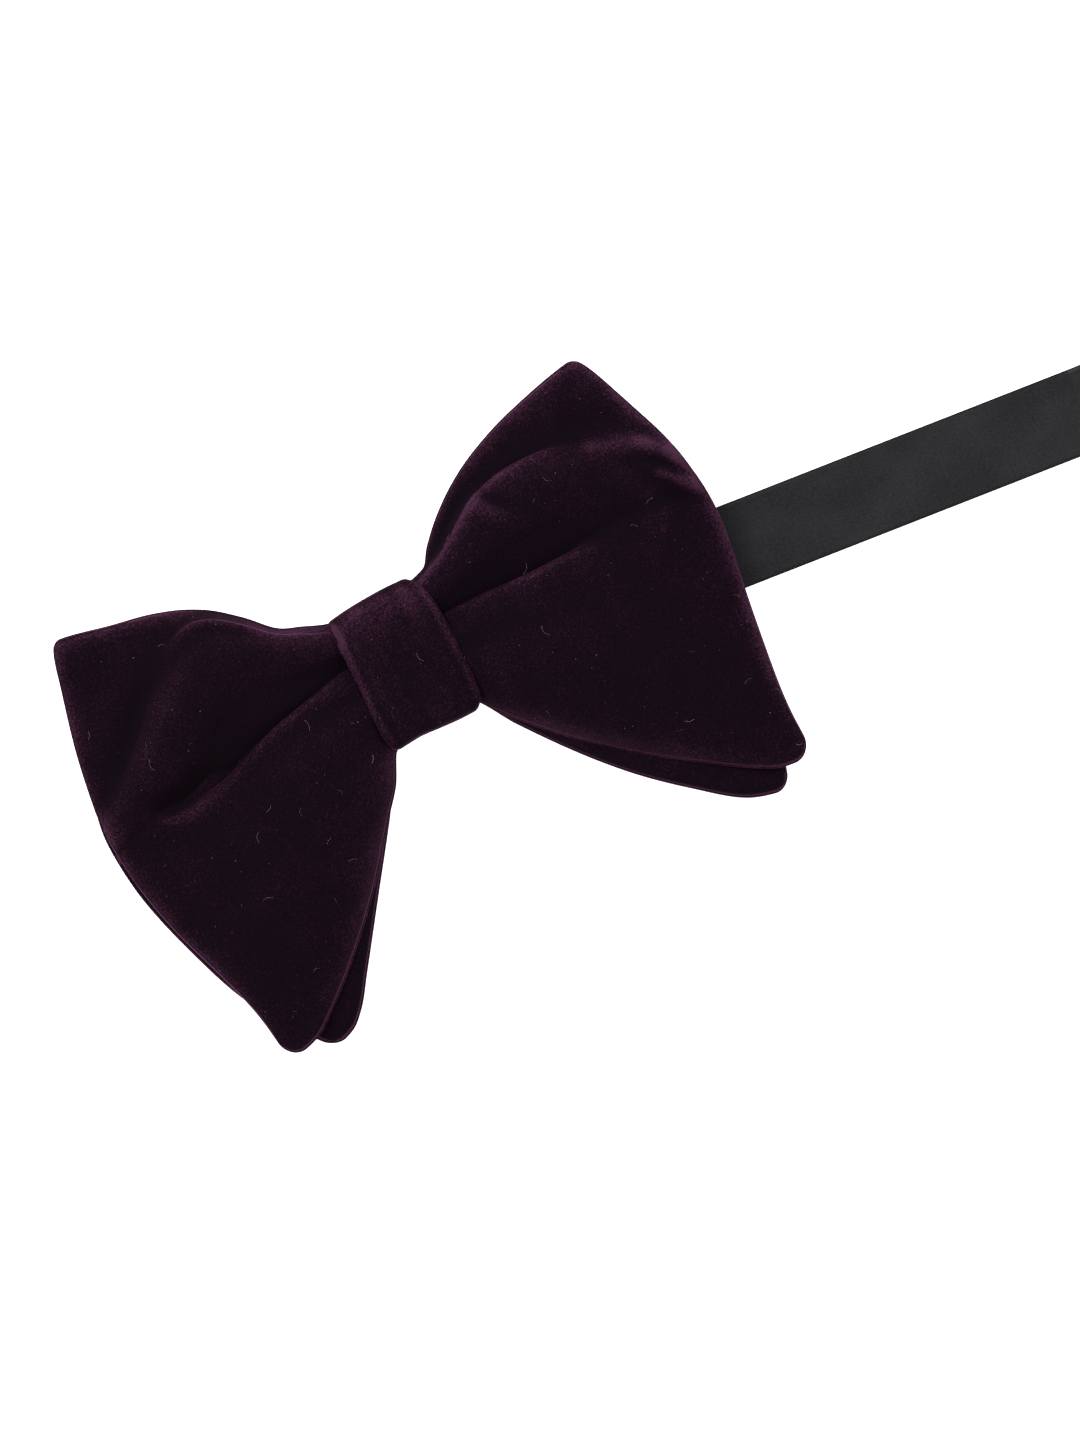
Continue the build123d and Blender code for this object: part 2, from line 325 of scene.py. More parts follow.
# dull spun yarn: two tones of one colour, with a fibrous bump
def fibreMaterial(name, dark, light, scale, roughness):
    material, tree, surface = nodeTree(name)
    tufts = mottled(tree, objectPlace(tree), scale=scale, detail=5.0, roughness=0.7, low=0.3, high=0.7)
    tree.links.new(mixed(tree, tufts["Mask"], (*dark, 1), (*light, 1)), surface.inputs["Base Color"])
    bump(tree, surface, tufts["Noise"], 0.4, 0.0001)
    setSurface(surface, Roughness=roughness, Specular_IOR_Level=0.2)
    return material


velvet = velvetMaterial()
satin = satinMaterial()
metal = metalMaterial()
plumThread = fibreMaterial("plumThread", (0.010, 0.004, 0.009), (0.035, 0.014, 0.030), 3000.0, 0.7)
blackThread = fibreMaterial("blackThread", (0.006, 0.006, 0.007), (0.022, 0.022, 0.024), 3000.0, 0.6)
lint = fibreMaterial("lint", (0.07, 0.045, 0.06), (0.50, 0.43, 0.44), 400.0, 0.8)
print("materials made")

# The bows. Every wing is measured in mm outwards from the knot's middle (reach) and up the bow (height).
columnsPerWing = 120
profileSamples = 184
rimRadius = 0.35
waistReach = 6.0
farReach = 73.0
# one middle level of painted light for faces that lie hidden
hiddenPaintedLight = 0.35


# the reach of a rail at share a, when it ends on the outer edge at this height
def reachOf(wing, a, endHeight):
    return wing["waist"] + a * (wing["outer"](endHeight) - rimRadius - wing["waist"])


# the rail moved away from itself, so that the wing grows by this much
def grown(rail, by):
    return lambda x: rail(x) + by * np.hypot(1, rail(x + 0.5) - rail(x - 0.5))


# control points (reach, height, z) of one profile of a wing, from its bottom edge to its top edge
def wingProfile(wing, a):
    controls = []

    def put(line, shift, z):
        endHeight = line(wing["far"]) + shift
        reach = reachOf(wing, a, endHeight)
        controls.append((reach, float(line(reach)) + shift, float(z)))

    def between(lower, upper, share):
        return lambda reach: lower(reach) + (upper(reach) - lower(reach)) * share

    crease, ridge = wing["crease"], wing["ridge"]
    bottom, top = grown(wing["bottom"], -0.9), grown(wing["top"], 0.9)
    edge, lobe, crest = wing["edgeZ"](a), wing["lobeZ"](a), wing["crestZ"](a)
    under, tuck = wing["creaseTuck"](a), wing["ridgeTuck"](a)
    lip, shelf, panel = wing["lipZ"](a), wing["ridgeZ"](a), wing["panelZ"](a)
    dip, fall = wing["creaseDip"](a), wing["ridgeDip"](a)
    topEdge = wing["topZ"](a)

    # lower lobe, from the bottom edge to the lip of the crease
    for share, level in ((0, 0), (0.03, 0.16), (0.08, 0.36), (0.16, 0.6), (0.28, 0.84), (0.44, 0.99)):
        put(between(bottom, crease, share), 0, edge + (lobe - edge) * level)
    for share, level in ((0.6, 1.0), (0.75, 0.8), (0.88, 0.45)):
        put(between(bottom, crease, share), 0, lip + (lobe - lip) * level)
    # the lip rolls over and the cloth runs back under the lobe; soft opens the fold into a slope
    soft = wing["creaseSoft"](a)
    reach = reachOf(wing, a, 0)
    room = float(ridge(reach) - crease(reach))
    little = min(1.0, dip)
    put(crease, -1.0 - 3.0 * soft, lip + 0.2 * little)
    put(crease, 0.15 - 0.6 * soft, lip - 0.25 * dip)
    put(crease, 0.1 - 0.25 * under + 0.05 * room * soft, lip - 0.75 * dip)
    put(crease, -0.95 * under + 0.09 * room * soft, lip - dip)
    put(crease, -0.3 * under + 0.2 + 0.12 * room * soft, lip - dip - 0.3 * little)
    # upper lobe, from under that lip to the ridge
    put(crease, 0.9 + (0.2 * room - 0.9) * soft, lip - (0.9 - 0.1 * soft) * dip)
    for share, level in ((0.28, 0.42), (0.38, 0.7), (0.5, 0.92), (0.64, 1.0), (0.76, 0.96)):
        put(between(crease, ridge, share), 0, lip - dip + (crest - lip + dip) * level)
    soft = wing["ridgeSoft"](a)
    put(between(crease, ridge, 0.86), 0, shelf + 0.5 * (crest - shelf))
    # the ridge rolls over in the same way, down to the panel behind it
    little = min(1.0, fall)
    put(ridge, -min(1.0 + soft, 0.08 * room), shelf + 0.2 * little)
    above = float(top(reach) - ridge(reach))
    put(ridge, 0.1, shelf - 0.3 * fall)
    put(ridge, 0.1 - 0.3 * tuck + min(0.8 * soft, 0.07 * above), shelf - 0.75 * fall)
    put(ridge, -0.95 * tuck + min(1.8 * soft, 0.14 * above), shelf - fall)
    put(ridge, -0.2 * tuck + min(0.3 + 2.2 * soft, 0.21 * above), shelf - fall - 0.2 * little)
    for share in (0.3, 0.5, 0.75, 0.92, 1):
        put(between(ridge, top, share), 0, panel + (topEdge - panel) * share)
    return controls


# the same for the back of the pouch, which is one plain arch
def backProfile(wing, a, count):
    controls = []
    bottom, top = grown(wing["bottom"], -0.9), grown(wing["top"], 0.9)
    for i in range(count):
        share = i / (count - 1)
        endHeight = bottom(wing["far"]) + (top(wing["far"]) - bottom(wing["far"])) * share
        reach = reachOf(wing, a, endHeight)
        height = bottom(reach) + (top(reach) - bottom(reach)) * share
        edge = wing["edgeZ"](a) * (1 - share) + wing["topZ"](a) * share
        arch = 4 * share * (1 - share)
        controls.append((reach, float(height), float(edge - 2.5 + arch * wing["backArch"](a))))
    return controls


# how far the cloth has rolled down at each point of a grid, near the grid's outline
def edgeRoll(sheet, reach, drop):
    flat = sheet[:, :, :2]
    border = np.concatenate([flat[:, 0], flat[-1, :], flat[::-1, -1], flat[0, ::-1]])
    tree = kdtree.KDTree(len(border))
    for i, (x, y) in enumerate(border):
        tree.insert((x, y, 0), i)
    tree.balance()
    gaps = np.array([tree.find((x, y, 0))[2] for x, y in flat.reshape(-1, 2)]).reshape(flat.shape[:2])
    bent = 0.97 * np.clip(1 - gaps / reach, 0, 1)
    return drop * (1 - np.sqrt(1 - bent**2))


def blurred(values, cells):
    reach = int(3 * cells) + 1
    kernel = np.exp(-0.5 * (np.arange(-reach, reach + 1) / cells) ** 2)
    kernel /= kernel.sum()
    for axis in (0, 1):
        padded = np.pad(values, [(reach, reach) if a == axis else (0, 0) for a in (0, 1)], "edge")
        values = np.apply_along_axis(lambda line: np.convolve(line, kernel, "valid"), axis, padded)
    return values


# Painted light and shade over the relief of a grid of points seen from above, as a function of
# (x, y): bends and slopes that face the light get a painted highlight, hollows get painted shade.
def paintedLightOver(sheet, look):
    cell = 0.6
    fine = sheet
    for axis in (0, 1):
        last = fine.shape[axis] - 1
        at = np.linspace(0, last, 4 * last)
        low = np.minimum(at.astype(int), last - 1)
        part = (at - low).reshape((-1, 1, 1) if axis == 0 else (1, -1, 1))
        fine = np.take(fine, low, axis) * (1 - part) + np.take(fine, low + 1, axis) * part
    fine = fine.reshape(-1, 3)
    origin = fine[:, :2].min(0) - 14
    shape = tuple(((fine[:, :2].max(0) + 14 - origin) / cell).astype(int) + 1)
    relief = np.full(shape, -1e9)
    at = ((fine[:, :2] - origin) / cell + 0.5).astype(int)
    np.maximum.at(relief, (at[:, 0], at[:, 1]), fine[:, 2])
    empty = relief < -1e8
    relief[empty] = look["around"]
    small, wide = blurred(relief, 1.1 / cell), blurred(relief, 3.6 / cell)
    # painted highlight on slopes that face the light
    slopeX, slopeY = np.gradient(small, cell)
    facing = -(slopeX * look["towards"][0] + slopeY * look["towards"][1])
    # painted highlight over bends and painted shade in hollows, at a fine and a broad scale
    paintedLight = look["base"] + look["fine"] * (relief - small) + look["broad"] * (small - wide)
    paintedLight += look["facing"] * np.tanh(facing)
    # outside the outline: a painted rim highlight
    paintedLight = np.where(empty, look["rim"], paintedLight)
    paintedLight = blurred(paintedLight, 0.45 / cell)
    relief[empty] = -9

    def value(points):
        spot = (points[:, :2] - origin) / cell
        low = np.clip(np.floor(spot).astype(int), 0, np.array(shape) - 2)
        fx, fy = np.clip(spot - low, 0, 1).T
        x, y = low.T
        lower = paintedLight[x, y] * (1 - fx) + paintedLight[x + 1, y] * fx
        upper = paintedLight[x, y + 1] * (1 - fx) + paintedLight[x + 1, y + 1] * fx
        # under a higher layer of cloth the value falls to the darkest stop, as painted shade
        covered = np.minimum(np.minimum(relief[x, y], relief[x + 1, y]), relief[x, y + 1]) - points[:, 2]
        return np.clip(lower * (1 - fy) + upper * fy, 0, 1) * (1 - ease(covered, 0.4, 1.4))

    return value


# stores the painted light and shade of a piece on its points
def storePaintedLight(piece, values):
    paintedLight = piece.data.attributes.new("paintedLight", "FLOAT", "POINT")
    paintedLight.data.foreach_set("value", np.asarray(values, np.float32))


# how the velvet's light and shade are painted: a base level, painted highlight over fine and broad bends and
# on slopes that face the light along towards, and a painted rim highlight outside the outline
velvetPaintedLight = {
    "base": 0.275,
    "fine": 0.62,
    "broad": 0.12,
    "facing": 0.11,
    "towards": (0.1, 1.0),
    "around": 5.4,
    "rim": 0.7,
}


# turn the outer corner at the foot or the head of a wing's grid into an arc
def roundTip(sheet, radius, head):
    work = sheet[:, ::-1] if head else sheet
    rows = np.linalg.norm(np.diff(work[:, :, :2], axis=0), axis=2)
    columns = np.linalg.norm(np.diff(work[:, :, :2], axis=1), axis=2)
    fromEnd, fromFoot = np.zeros(work.shape[:2]), np.zeros(work.shape[:2])
    fromEnd[:-1] = np.cumsum(rows[::-1], axis=0)[::-1]
    fromFoot[:, 1:] = np.cumsum(columns, axis=1)
    s, t = np.clip(1 - fromEnd / radius, 0, 1), np.clip(1 - fromFoot / radius, 0, 1)
    inward, upward = -np.gradient(work[:, :, :2], axis=0), np.gradient(work[:, :, :2], axis=1)
    for way, gap in ((inward, s - s * np.sqrt(1 - t * t / 2)), (upward, t - t * np.sqrt(1 - s * s / 2))):
        way /= np.linalg.norm(way, axis=2, keepdims=True) + 1e-9
        work[:, :, :2] += (radius * gap)[:, :, None] * way


# One bow: a closed pouch. wings is (left, right), both seen as reaching outwards.
def makePouch(name, wings, wrinkles, patchesAndPaintedLight, replaced):
    shares = np.linspace(0, 1, columnsPerWing) ** 0.92
    fronts, backs = [], []
    for side, wing in ((-1, wings[0]), (1, wings[1])):
        front = np.array([wingProfile(wing, a) for a in shares])
        back = np.array([backProfile(wing, a, 12) for a in shares])
        for store, controls in ((fronts, front), (backs, back)):
            weights = splineWeights(controls.shape[1], evenSamples(controls, profileSamples))
            sheet = np.einsum("tk,akc->atc", weights, controls)
            roundTip(sheet, wing["tips"][0], head=False)
            roundTip(sheet, wing["tips"][1], head=True)
            sheet[:, :, 0] *= side
            store.append(sheet)
    # columns run from the left wing's outer edge, through the waist, to the right wing's
    waist = np.linspace(0, 1, 14)[1:-1, None, None]
    front, back = (
        np.concatenate([s[0][::-1], s[0][0] * (1 - waist) + s[1][0] * waist, s[1]]) for s in (fronts, backs)
    )
    front[:, :, 2] += wrinkles(front[:, :, 0], front[:, :, 1])
    front[:, :, 2] -= edgeRoll(front, reach=3.0, drop=1.5)
    count, across = front.shape[:2]
    loop = [(i, 0) for i in range(count)]
    loop += [(count - 1, j) for j in range(1, across)]
    loop += [(i, across - 1) for i in range(count - 2, -1, -1)]
    loop += [(0, j) for j in range(across - 2, 0, -1)]
    rows, cols = np.array(loop).T
    rim, rimBack = front[rows, cols], back[rows, cols]
    outward = np.cross(np.roll(rim, -1, 0) - np.roll(rim, 1, 0), (0, 0, 1))
    outward /= np.linalg.norm(outward, axis=1, keepdims=True)
    steps, rings = 7, []
    middle, half = (rim + rimBack) / 2, (rim - rimBack) / 2
    # the rim's arc starts steep, where the rolled cloth ends
    start = math.radians(55)
    for k in range(1, steps):
        angle = start + (math.pi - 2 * start) * k / steps
        out = (math.sin(angle) - math.sin(start)) / (1 - math.sin(start))
        rings.append(middle + math.cos(angle) / math.cos(start) * half + out * rimRadius * outward)
    size = count * across
    points = np.concatenate([front.reshape(-1, 3), back.reshape(-1, 3), *rings])
    faces = gridFaces(count, across) + gridFaces(count, across, size, flip=True)
    frontLoop = [r * across + c for r, c in loop]
    chain = [frontLoop]
    chain += [[2 * size + k * len(loop) + i for i in range(len(loop))] for k in range(steps - 1)]
    chain.append([size + i for i in frontLoop])
    for upper, lower in zip(chain, chain[1:]):
        for i in range(len(loop)):
            j = (i + 1) % len(loop)
            faces.append((upper[i], lower[i], lower[j], upper[j]))
    piece = addMesh(name, points, faces, velvet)
    # painted light and shade of the front's relief, plus painted light along given lines
    paintedLight = paintedLightOver(front, velvetPaintedLight)(points) + patchesAndPaintedLight(points[:, 0], points[:, 1])
    # the hidden back gets one middle level of painted light
    paintedLight[size : 2 * size] = hiddenPaintedLight
    # the rim gets a painted highlight where it turns over, fading towards the back
    rims = points[2 * size :]
    turned = np.repeat(np.linspace(0.66, 0.45, steps - 1), len(loop))
    paintedLight[2 * size :] = turned + patchesAndPaintedLight(rims[:, 0], rims[:, 1])
    storePaintedLight(piece, paintedLight)
    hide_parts(*replaced)
    return piece


# a wing: every curve is given by a few of its points
def makeWing(tips, **curves):
    wing = {name: through(*points) for name, points in curves.items()}
    return wing | {"tips": tips, "waist": waistReach, "far": farReach}


frontShared = {
    "edgeZ": [(0, 9), (0.25, 8.6), (0.7, 7.8), (1, 6.6)],
    "backArch": [(0, 0.5), (0.3, 4), (0.7, 2.6), (1, 0.8)],
}
frontRight = makeWing(
    tips=(4.2, 1.6),
    outer=[
        (-57.9, 65.3), (-54, 65.6), (-48, 65.4), (-40, 66.8), (-25, 69.5), (-12, 72.2), (-4, 73.5),
        (4, 73.2), (12, 72.1), (20, 69.5), (29, 66.7), (36, 64.5), (38, 63),
    ],
    bottom=[
        (6, -12.2), (10, -13.3), (12.5, -16.9), (20, -26.2), (30, -36.2), (45, -48.5), (55, -55.6),
        (58, -57.2), (61, -57.9), (73, -58),
    ],
    top=[
        (6, 13.2), (12, 13.8), (14.5, 14.8), (17, 17.8), (20, 20.8), (25, 24.8), (30, 27.9), (40, 32.1),
        (50, 34.7), (60, 36.5), (73, 37.3),
    ],
    crease=[(6, 5), (12.3, 5.1), (20, 4.7), (30, 3.7), (40, 3), (50, 1.5), (73, -3)],
    ridge=[
        (6, 11.8), (14, 14.6), (20, 17.4), (25, 20.6), (30, 23.2), (35, 24.6), (40, 25), (50, 23),
        (60, 18), (73, 11),
    ],
    topZ=[(0, 9), (0.25, 8.2), (0.6, 8.4), (1, 8.8)],
    lobeZ=[(0, 10.8), (0.12, 13), (0.3, 15.8), (0.55, 15), (0.8, 12), (1, 9.6)],
    lipZ=[(0, 10.6), (0.12, 12.4), (0.3, 14.4), (0.55, 13.6), (0.8, 11.2), (1, 9.6)],
    crestZ=[(0, 10.8), (0.12, 12.2), (0.3, 14.8), (0.5, 15.2), (0.75, 13), (1, 10.6)],
    ridgeZ=[(0, 10.6), (0.12, 12), (0.3, 13.6), (0.5, 13.2), (0.75, 11.6), (1, 10.2)],
    panelZ=[(0, 9.2), (0.3, 9), (0.6, 9.4), (1, 9.6)],
    creaseTuck=[(0, 3.4), (0.25, 3.2), (0.45, 1.8), (0.6, 0), (1, 0)],
    creaseSoft=[(0, 0), (0.42, 0), (0.6, 0.5), (0.72, 1), (1, 1)],
    ridgeTuck=[(0, 2.6), (0.3, 2.4), (0.5, 1.6), (0.62, 0.2), (0.7, 0), (1, 0)],
    ridgeSoft=[(0, 0), (0.48, 0), (0.62, 0.4), (0.75, 1), (1, 1.4)],
    creaseDip=[(0, 1.2), (0.12, 2.2), (0.35, 3.5), (0.55, 3), (0.7, 1.2), (0.85, 0.2), (1, 0)],
    ridgeDip=[(0, 0.8), (0.12, 1.6), (0.3, 2.6), (0.5, 3.2), (0.65, 2.6), (0.8, 1.8), (1, 0.8)],
    **frontShared,
)
frontLeft = makeWing(
    tips=(4.2, 1.4),
    outer=[
        (-58.6, 62.6), (-55, 63), (-50, 63.1), (-45, 64), (-36, 66.5), (-27, 69.3), (-17, 71.4),
        (-5, 72.4), (3, 72.3), (11, 70.9), (20, 68.4), (31, 65), (39, 63.1), (41, 61.7),
    ],
    bottom=[
        (6, -12.2), (11, -14), (15, -20.2), (20, -25.8), (30, -37), (40, -46.4), (50, -54.3),
        (55, -57.6), (58.4, -58.6), (73, -58.6),
    ],
    top=[
        (6, 13.6), (10, 14.3), (15, 16.5), (20, 19), (25, 24.4), (30, 29), (35, 32.1), (40, 34.2),
        (50, 36.9), (60, 39.6), (73, 40.4),
    ],
    crease=[(6, 5), (12, 5.1), (20, 3.7), (30, 1.9), (40, -0.9), (50, -3.6), (73, -6)],
    ridge=[
        (6, 12.4), (12, 13.8), (16, 16.1), (20, 18.3), (25, 23.2), (30, 27.2), (35, 28.3), (40, 26.2),
        (50, 19), (60, 10.5), (73, 2),
    ],
    topZ=[(0, 9), (0.25, 9.4), (0.6, 8.8), (1, 8.8)],
    lobeZ=[(0, 10.8), (0.12, 13), (0.3, 15.6), (0.55, 14.6), (0.8, 11.6), (1, 9.4)],
    lipZ=[(0, 10.6), (0.12, 12.4), (0.3, 14.2), (0.55, 13), (0.8, 10.4), (1, 9)],
    crestZ=[(0, 10.8), (0.12, 12.4), (0.3, 14.6), (0.5, 15.2), (0.75, 13), (1, 10.4)],
    ridgeZ=[(0, 10.6), (0.12, 11.8), (0.3, 13), (0.5, 12.6), (0.75, 11.2), (1, 9.6)],
    panelZ=[(0, 10.6), (0.25, 12.4), (0.4, 12), (0.6, 10.6), (1, 9.4)],
    creaseTuck=[(0, 3.4), (0.25, 3), (0.45, 2), (0.58, 0.6), (0.64, 0), (1, 0)],
    creaseSoft=[(0, 0), (0.54, 0), (0.64, 0.4), (0.74, 1), (1, 1)],
    ridgeTuck=[(0, 0.8), (0.08, 0.3), (0.15, 0), (1, 0)],
    ridgeSoft=[(0, 0), (0.15, 0.6), (0.3, 1.8), (0.7, 1.6), (1, 1.2)],
    creaseDip=[
        (0, 1.2), (0.12, 2.2), (0.35, 3.6), (0.5, 3.8), (0.62, 2.8), (0.72, 1.2), (0.8, 0), (1, 0),
    ],
    ridgeDip=[(0, 0), (0.34, 0), (0.46, 0.6), (0.57, 1.5), (0.72, 2), (0.9, 1.2), (1, 0.6)],
    **frontShared,
)



# the rear wings have shallow folds and differ in their outlines only
def rearWing(**own):
    return makeWing(
        tips=(3.2, 2.0),
        crease=[(6, 3), (20, 2), (40, -2), (73, -8)],
        ridge=[(6, 9), (20, 13), (40, 16), (73, 12)],
        edgeZ=[(0, 6.8), (0.25, 6.2), (0.7, 4.8), (1, 3.2)],
        topZ=[(0, 6.8), (0.25, 6), (0.6, 5), (1, 4.8)],
        lobeZ=[(0, 7.2), (0.3, 8.4), (0.6, 7.6), (1, 5.4)],
        lipZ=[(0, 7.2), (0.3, 8), (0.6, 7.2), (1, 5.4)],
        crestZ=[(0, 7.2), (0.3, 8.2), (0.6, 7.6), (1, 5.8)],
        ridgeZ=[(0, 7.1), (0.3, 7.6), (0.6, 7), (1, 5.4)],
        panelZ=[(0, 6.9), (0.3, 6.6), (0.6, 6), (1, 5)],
        creaseTuck=[(0, 1), (0.2, 0.6), (0.4, 0), (1, 0)],
        ridgeTuck=[(0, 1), (0.2, 0.6), (0.4, 0), (1, 0)],
        creaseSoft=[(0, 0), (0.4, 1), (1, 1)],
        ridgeSoft=[(0, 0), (0.4, 1), (1, 1.6)],
        creaseDip=[(0, 0.8), (0.3, 0.7), (0.6, 0.5), (1, 0.2)],
        ridgeDip=[(0, 0.8), (0.3, 0.6), (0.6, 0.3), (1, 0.2)],
        **own,
    )


rearRight = rearWing(
    outer=[(-61.5, 57.8), (-57, 59.6), (-45, 63), (-30, 67), (-10, 71.2), (5, 71.5), (20, 67), (35, 61)],
    bottom=[
        (6, -11.4), (10, -13.4), (15, -21.6), (20, -29), (30, -41.8), (40, -51.8), (50, -59.9),
        (54.4, -61.5), (73, -61.5),
    ],
    top=[(6, 11.6), (14.5, 13.4), (20, 16.6), (30, 23.4), (40, 28.4), (50, 31.4), (61, 33.4), (73, 33.8)],
    backArch=[(0, 0), (0.3, 0.6), (0.7, 0.6), (1, 0.6)],
)
rearLeft = rearWing(
    outer=[
        (-61, 53.4), (-59.5, 54.6), (-56, 57.4), (-50, 61.6), (-44, 65.3), (-34.5, 68.1), (-28, 70),
        (-19, 72.2), (-8, 73.4), (2, 73), (8, 71.2), (20, 66.5), (36, 61),
    ],
    bottom=[
        (6, -11.6), (11, -14), (20, -26), (30, -38.6), (40, -51.2), (45, -57.4), (48, -60), (50.5, -61),
        (73, -61),
    ],
    top=[(6, 11.6), (14.5, 13.4), (20, 16.6), (30, 24), (40, 30), (50, 33), (61, 35), (73, 35.4)],
    # higher over the eye, so that the plate can tilt
    backArch=[(0, 0), (0.3, 0.6), (0.6, 1.2), (0.8, 2.2), (0.94, 2.1), (1, 1.4)],
)


# A raised or sunk line through points given in mm. It falls away over lefty mm on its left and over
# righty mm on its right, seen from the first point to the last, and fades at both ends.
def fold(x, y, points, leftWide, rightWide, height, fades=(0.25, 0.25)):
    points = np.array(points, float)
    steps = np.diff(points, axis=0)
    lengths = np.hypot(*steps.T)
    starts = np.concatenate([[0], np.cumsum(lengths)])
    best = np.full(np.shape(x), 1e9)
    along, aside = np.zeros(np.shape(x)), np.zeros(np.shape(x))
    for (px, py), (dx, dy), length, start in zip(points, steps, lengths, starts):
        dx, dy = dx / length, dy / length
        run = np.clip((x - px) * dx + (y - py) * dy, 0, length)
        away = np.hypot(x - px - run * dx, y - py - run * dy)
        near = away < best
        best = np.where(near, away, best)
        along = np.where(near, (start + run) / starts[-1], along)
        aside = np.where(near, np.sign((y - py) * dx - (x - px) * dy), aside)
    wide = np.where(aside > 0, leftWide, rightWide)
    fade = ease(along, 0, fades[0]) * ease(-along, -1, fades[1] - 1)
    return height * fade * np.exp(-((best / wide) ** 2))


# gathers that fan out from the knot and die away
def gathers(x, y, height, phase):
    away = np.hypot(x, y * 0.6)
    angle = np.arctan2(y, np.abs(x) + 6)
    strength = ease(away, 6, 13) * ease(-away, -44, -14)
    return height * strength * np.sin(angle * 15 + phase + 0.05 * x + 0.8 * np.sin(angle * 6))


# folds of the front bow: points, width on the left and on the right, height and fades
frontFolds = (
    # right wing: the small lobe over the large one, the crumpled end of the ridge, the hollow
    ([(29.6, 23.6), (30.6, 21), (32.6, 17.8), (35.4, 14.6), (40, 11)], 1.2, 4.5, 1.1, (0.06, 0.7)),
    ([(31, 23.4), (32.2, 20.6), (34.4, 17.6), (37.4, 14.4)], 2.4, 0.9, -0.8, (0.1, 0.6)),
    ([(53, 21.6), (58, 18.8), (63, 17.4), (66.4, 15), (68, 11)], 2.2, 2.8, 1.3),
    ([(63.5, 18), (67, 14.8), (70, 10.5), (72, 6)], 1.5, 1.5, 1.5, (0.3, 0.2)),
    ([(64, 9.4), (67.4, 6.4), (70.4, 2.6), (72.6, -1)], 1.6, 0.9, 1.6, (0.3, 0.2)),
    ([(65.4, 12), (68, 9.4), (70.6, 5.8)], 0.9, 0.9, -0.6),
    ([(62, 15), (63.6, 10), (64, 5)], 2.4, 2.0, -0.7),
    ([(63.4, 5.6), (66.4, 2.2), (69.6, -2.4)], 1.6, 2.6, -0.7),
    ([(66, 3), (60, -4), (55, -9), (49, -14.5)], 1.5, 5.0, 0.8, (0.2, 0.5)),
    ([(52, 28), (60, 23.4), (67, 20)], 5.0, 2.6, -0.7),
    # left wing: the pocket's rim and hollow, the soft ridge and the valley behind it
    (
        [(-46, -2.8), (-49, -3.8), (-53, -4.8), (-58, -4.4), (-62, -2.2), (-64, 1)],
        3.6, 1.1, 1.1, (0.4, 0.25),
    ),
    ([(-41, 0.6), (-48, -1.2), (-54, -2), (-60, -0.8), (-64, 2.6)], 1.7, 3.6, -1.7, (0.3, 0.4)),
    ([(-34, 25), (-44, 21.4), (-50, 17.8), (-56, 12.6), (-62, 8), (-69, 3.6)], 4.6, 1.6, 0.6),
    ([(-44, 26), (-54, 18), (-61, 12), (-68, 8)], 2.4, 4.0, -0.5),
    # wide, faint swells of the filling
    ([(-30, -14), (-44, -22), (-60, -26)], 4.0, 4.0, -0.35),
    ([(20, -8), (36, -16), (56, -20)], 5.0, 4.0, 0.3),
)


# every fold of a table, added to values
def addFolds(values, x, y, folds):
    for one in folds:
        values = values + fold(x, y, *one)
    return values


def frontWrinkles(x, y):
    z = gathers(x, y, 0.28, 0.6)
    z += 0.22 * np.sin(x * 0.21 + 1.3 * np.sin(y * 0.11)) * np.sin(y * 0.17 + 0.6) * ease(np.abs(x), 16, 40)
    return addFolds(z, x, y, frontFolds)


def rearWrinkles(x, y):
    return gathers(x, y, 0.2, 2.1)


# painted light and shade along lines: a painted highlight where the height is positive (more), painted shade
# where it is negative (less)
frontPaintedLightLines = (
    # painted shade on the left wing: above the crease's lip, along the ridge and its top
    ([(-34, 2.2), (-41, 1), (-48, -0.6), (-55, -1.6)], 2.6, 3.4, -0.2, (0.3, 0.3)),
    ([(-15, 17.6), (-20, 20.4), (-25, 24.8), (-30, 29), (-36, 32.4)], 1.6, 1.6, -0.14, (0.1, 0.3)),
    ([(-24, 22.6), (-28, 26), (-32, 28), (-37, 28), (-42, 25.4)], 2.4, 3.4, -0.2, (0.1, 0.4)),
    ([(-16, 4), (-28, 1.6), (-38, -1.2), (-47, -4)], 1.4, 2.2, -0.07, (0.1, 0.2)),
    # painted highlight on the right wing's crumpled end and top, and along the outer and bottom edges
    ([(50, 24.5), (57, 22), (63, 18.6), (67, 13), (69, 8)], 3.4, 4.4, 0.24, (0.4, 0.4)),
    ([(63, 15), (62, 9), (60, 3), (56, -3)], 2.2, 2.6, 0.07),
    ([(20, 22), (34, 29), (50, 33), (62, 35)], 5.0, 5.0, 0.045),
    (
        [(65, 37), (69.5, 20), (73, 6), (73, -6), (69.5, -25), (66.8, -40), (65.4, -54)],
        2.2, 2.2, 0.13, (0.05, 0.2),
    ),
    ([(14, -19), (30, -36), (45, -48.4), (60, -58)], 2.4, 2.4, 0.12, (0.1, 0.1)),
    ([(-72, -8), (-69, -28), (-64, -46), (-63, -56)], 2.6, 2.6, 0.07, (0.3, 0.3)),
    ([(-14, -19), (-30, -37), (-45, -50), (-58, -58.6)], 2.2, 2.2, 0.06, (0.3, 0.1)),
)


def frontPaintedLight(x, y):
    # painted light and shade along the lines, and a little darker towards the bottom
    return addFolds(0, x, y, frontPaintedLightLines) - 0.03 * ease(-y, 8, 24)


# the rear bow's painted light is one even lift
def rearPaintedLight(x, y):
    return 0.06 + 0 * x


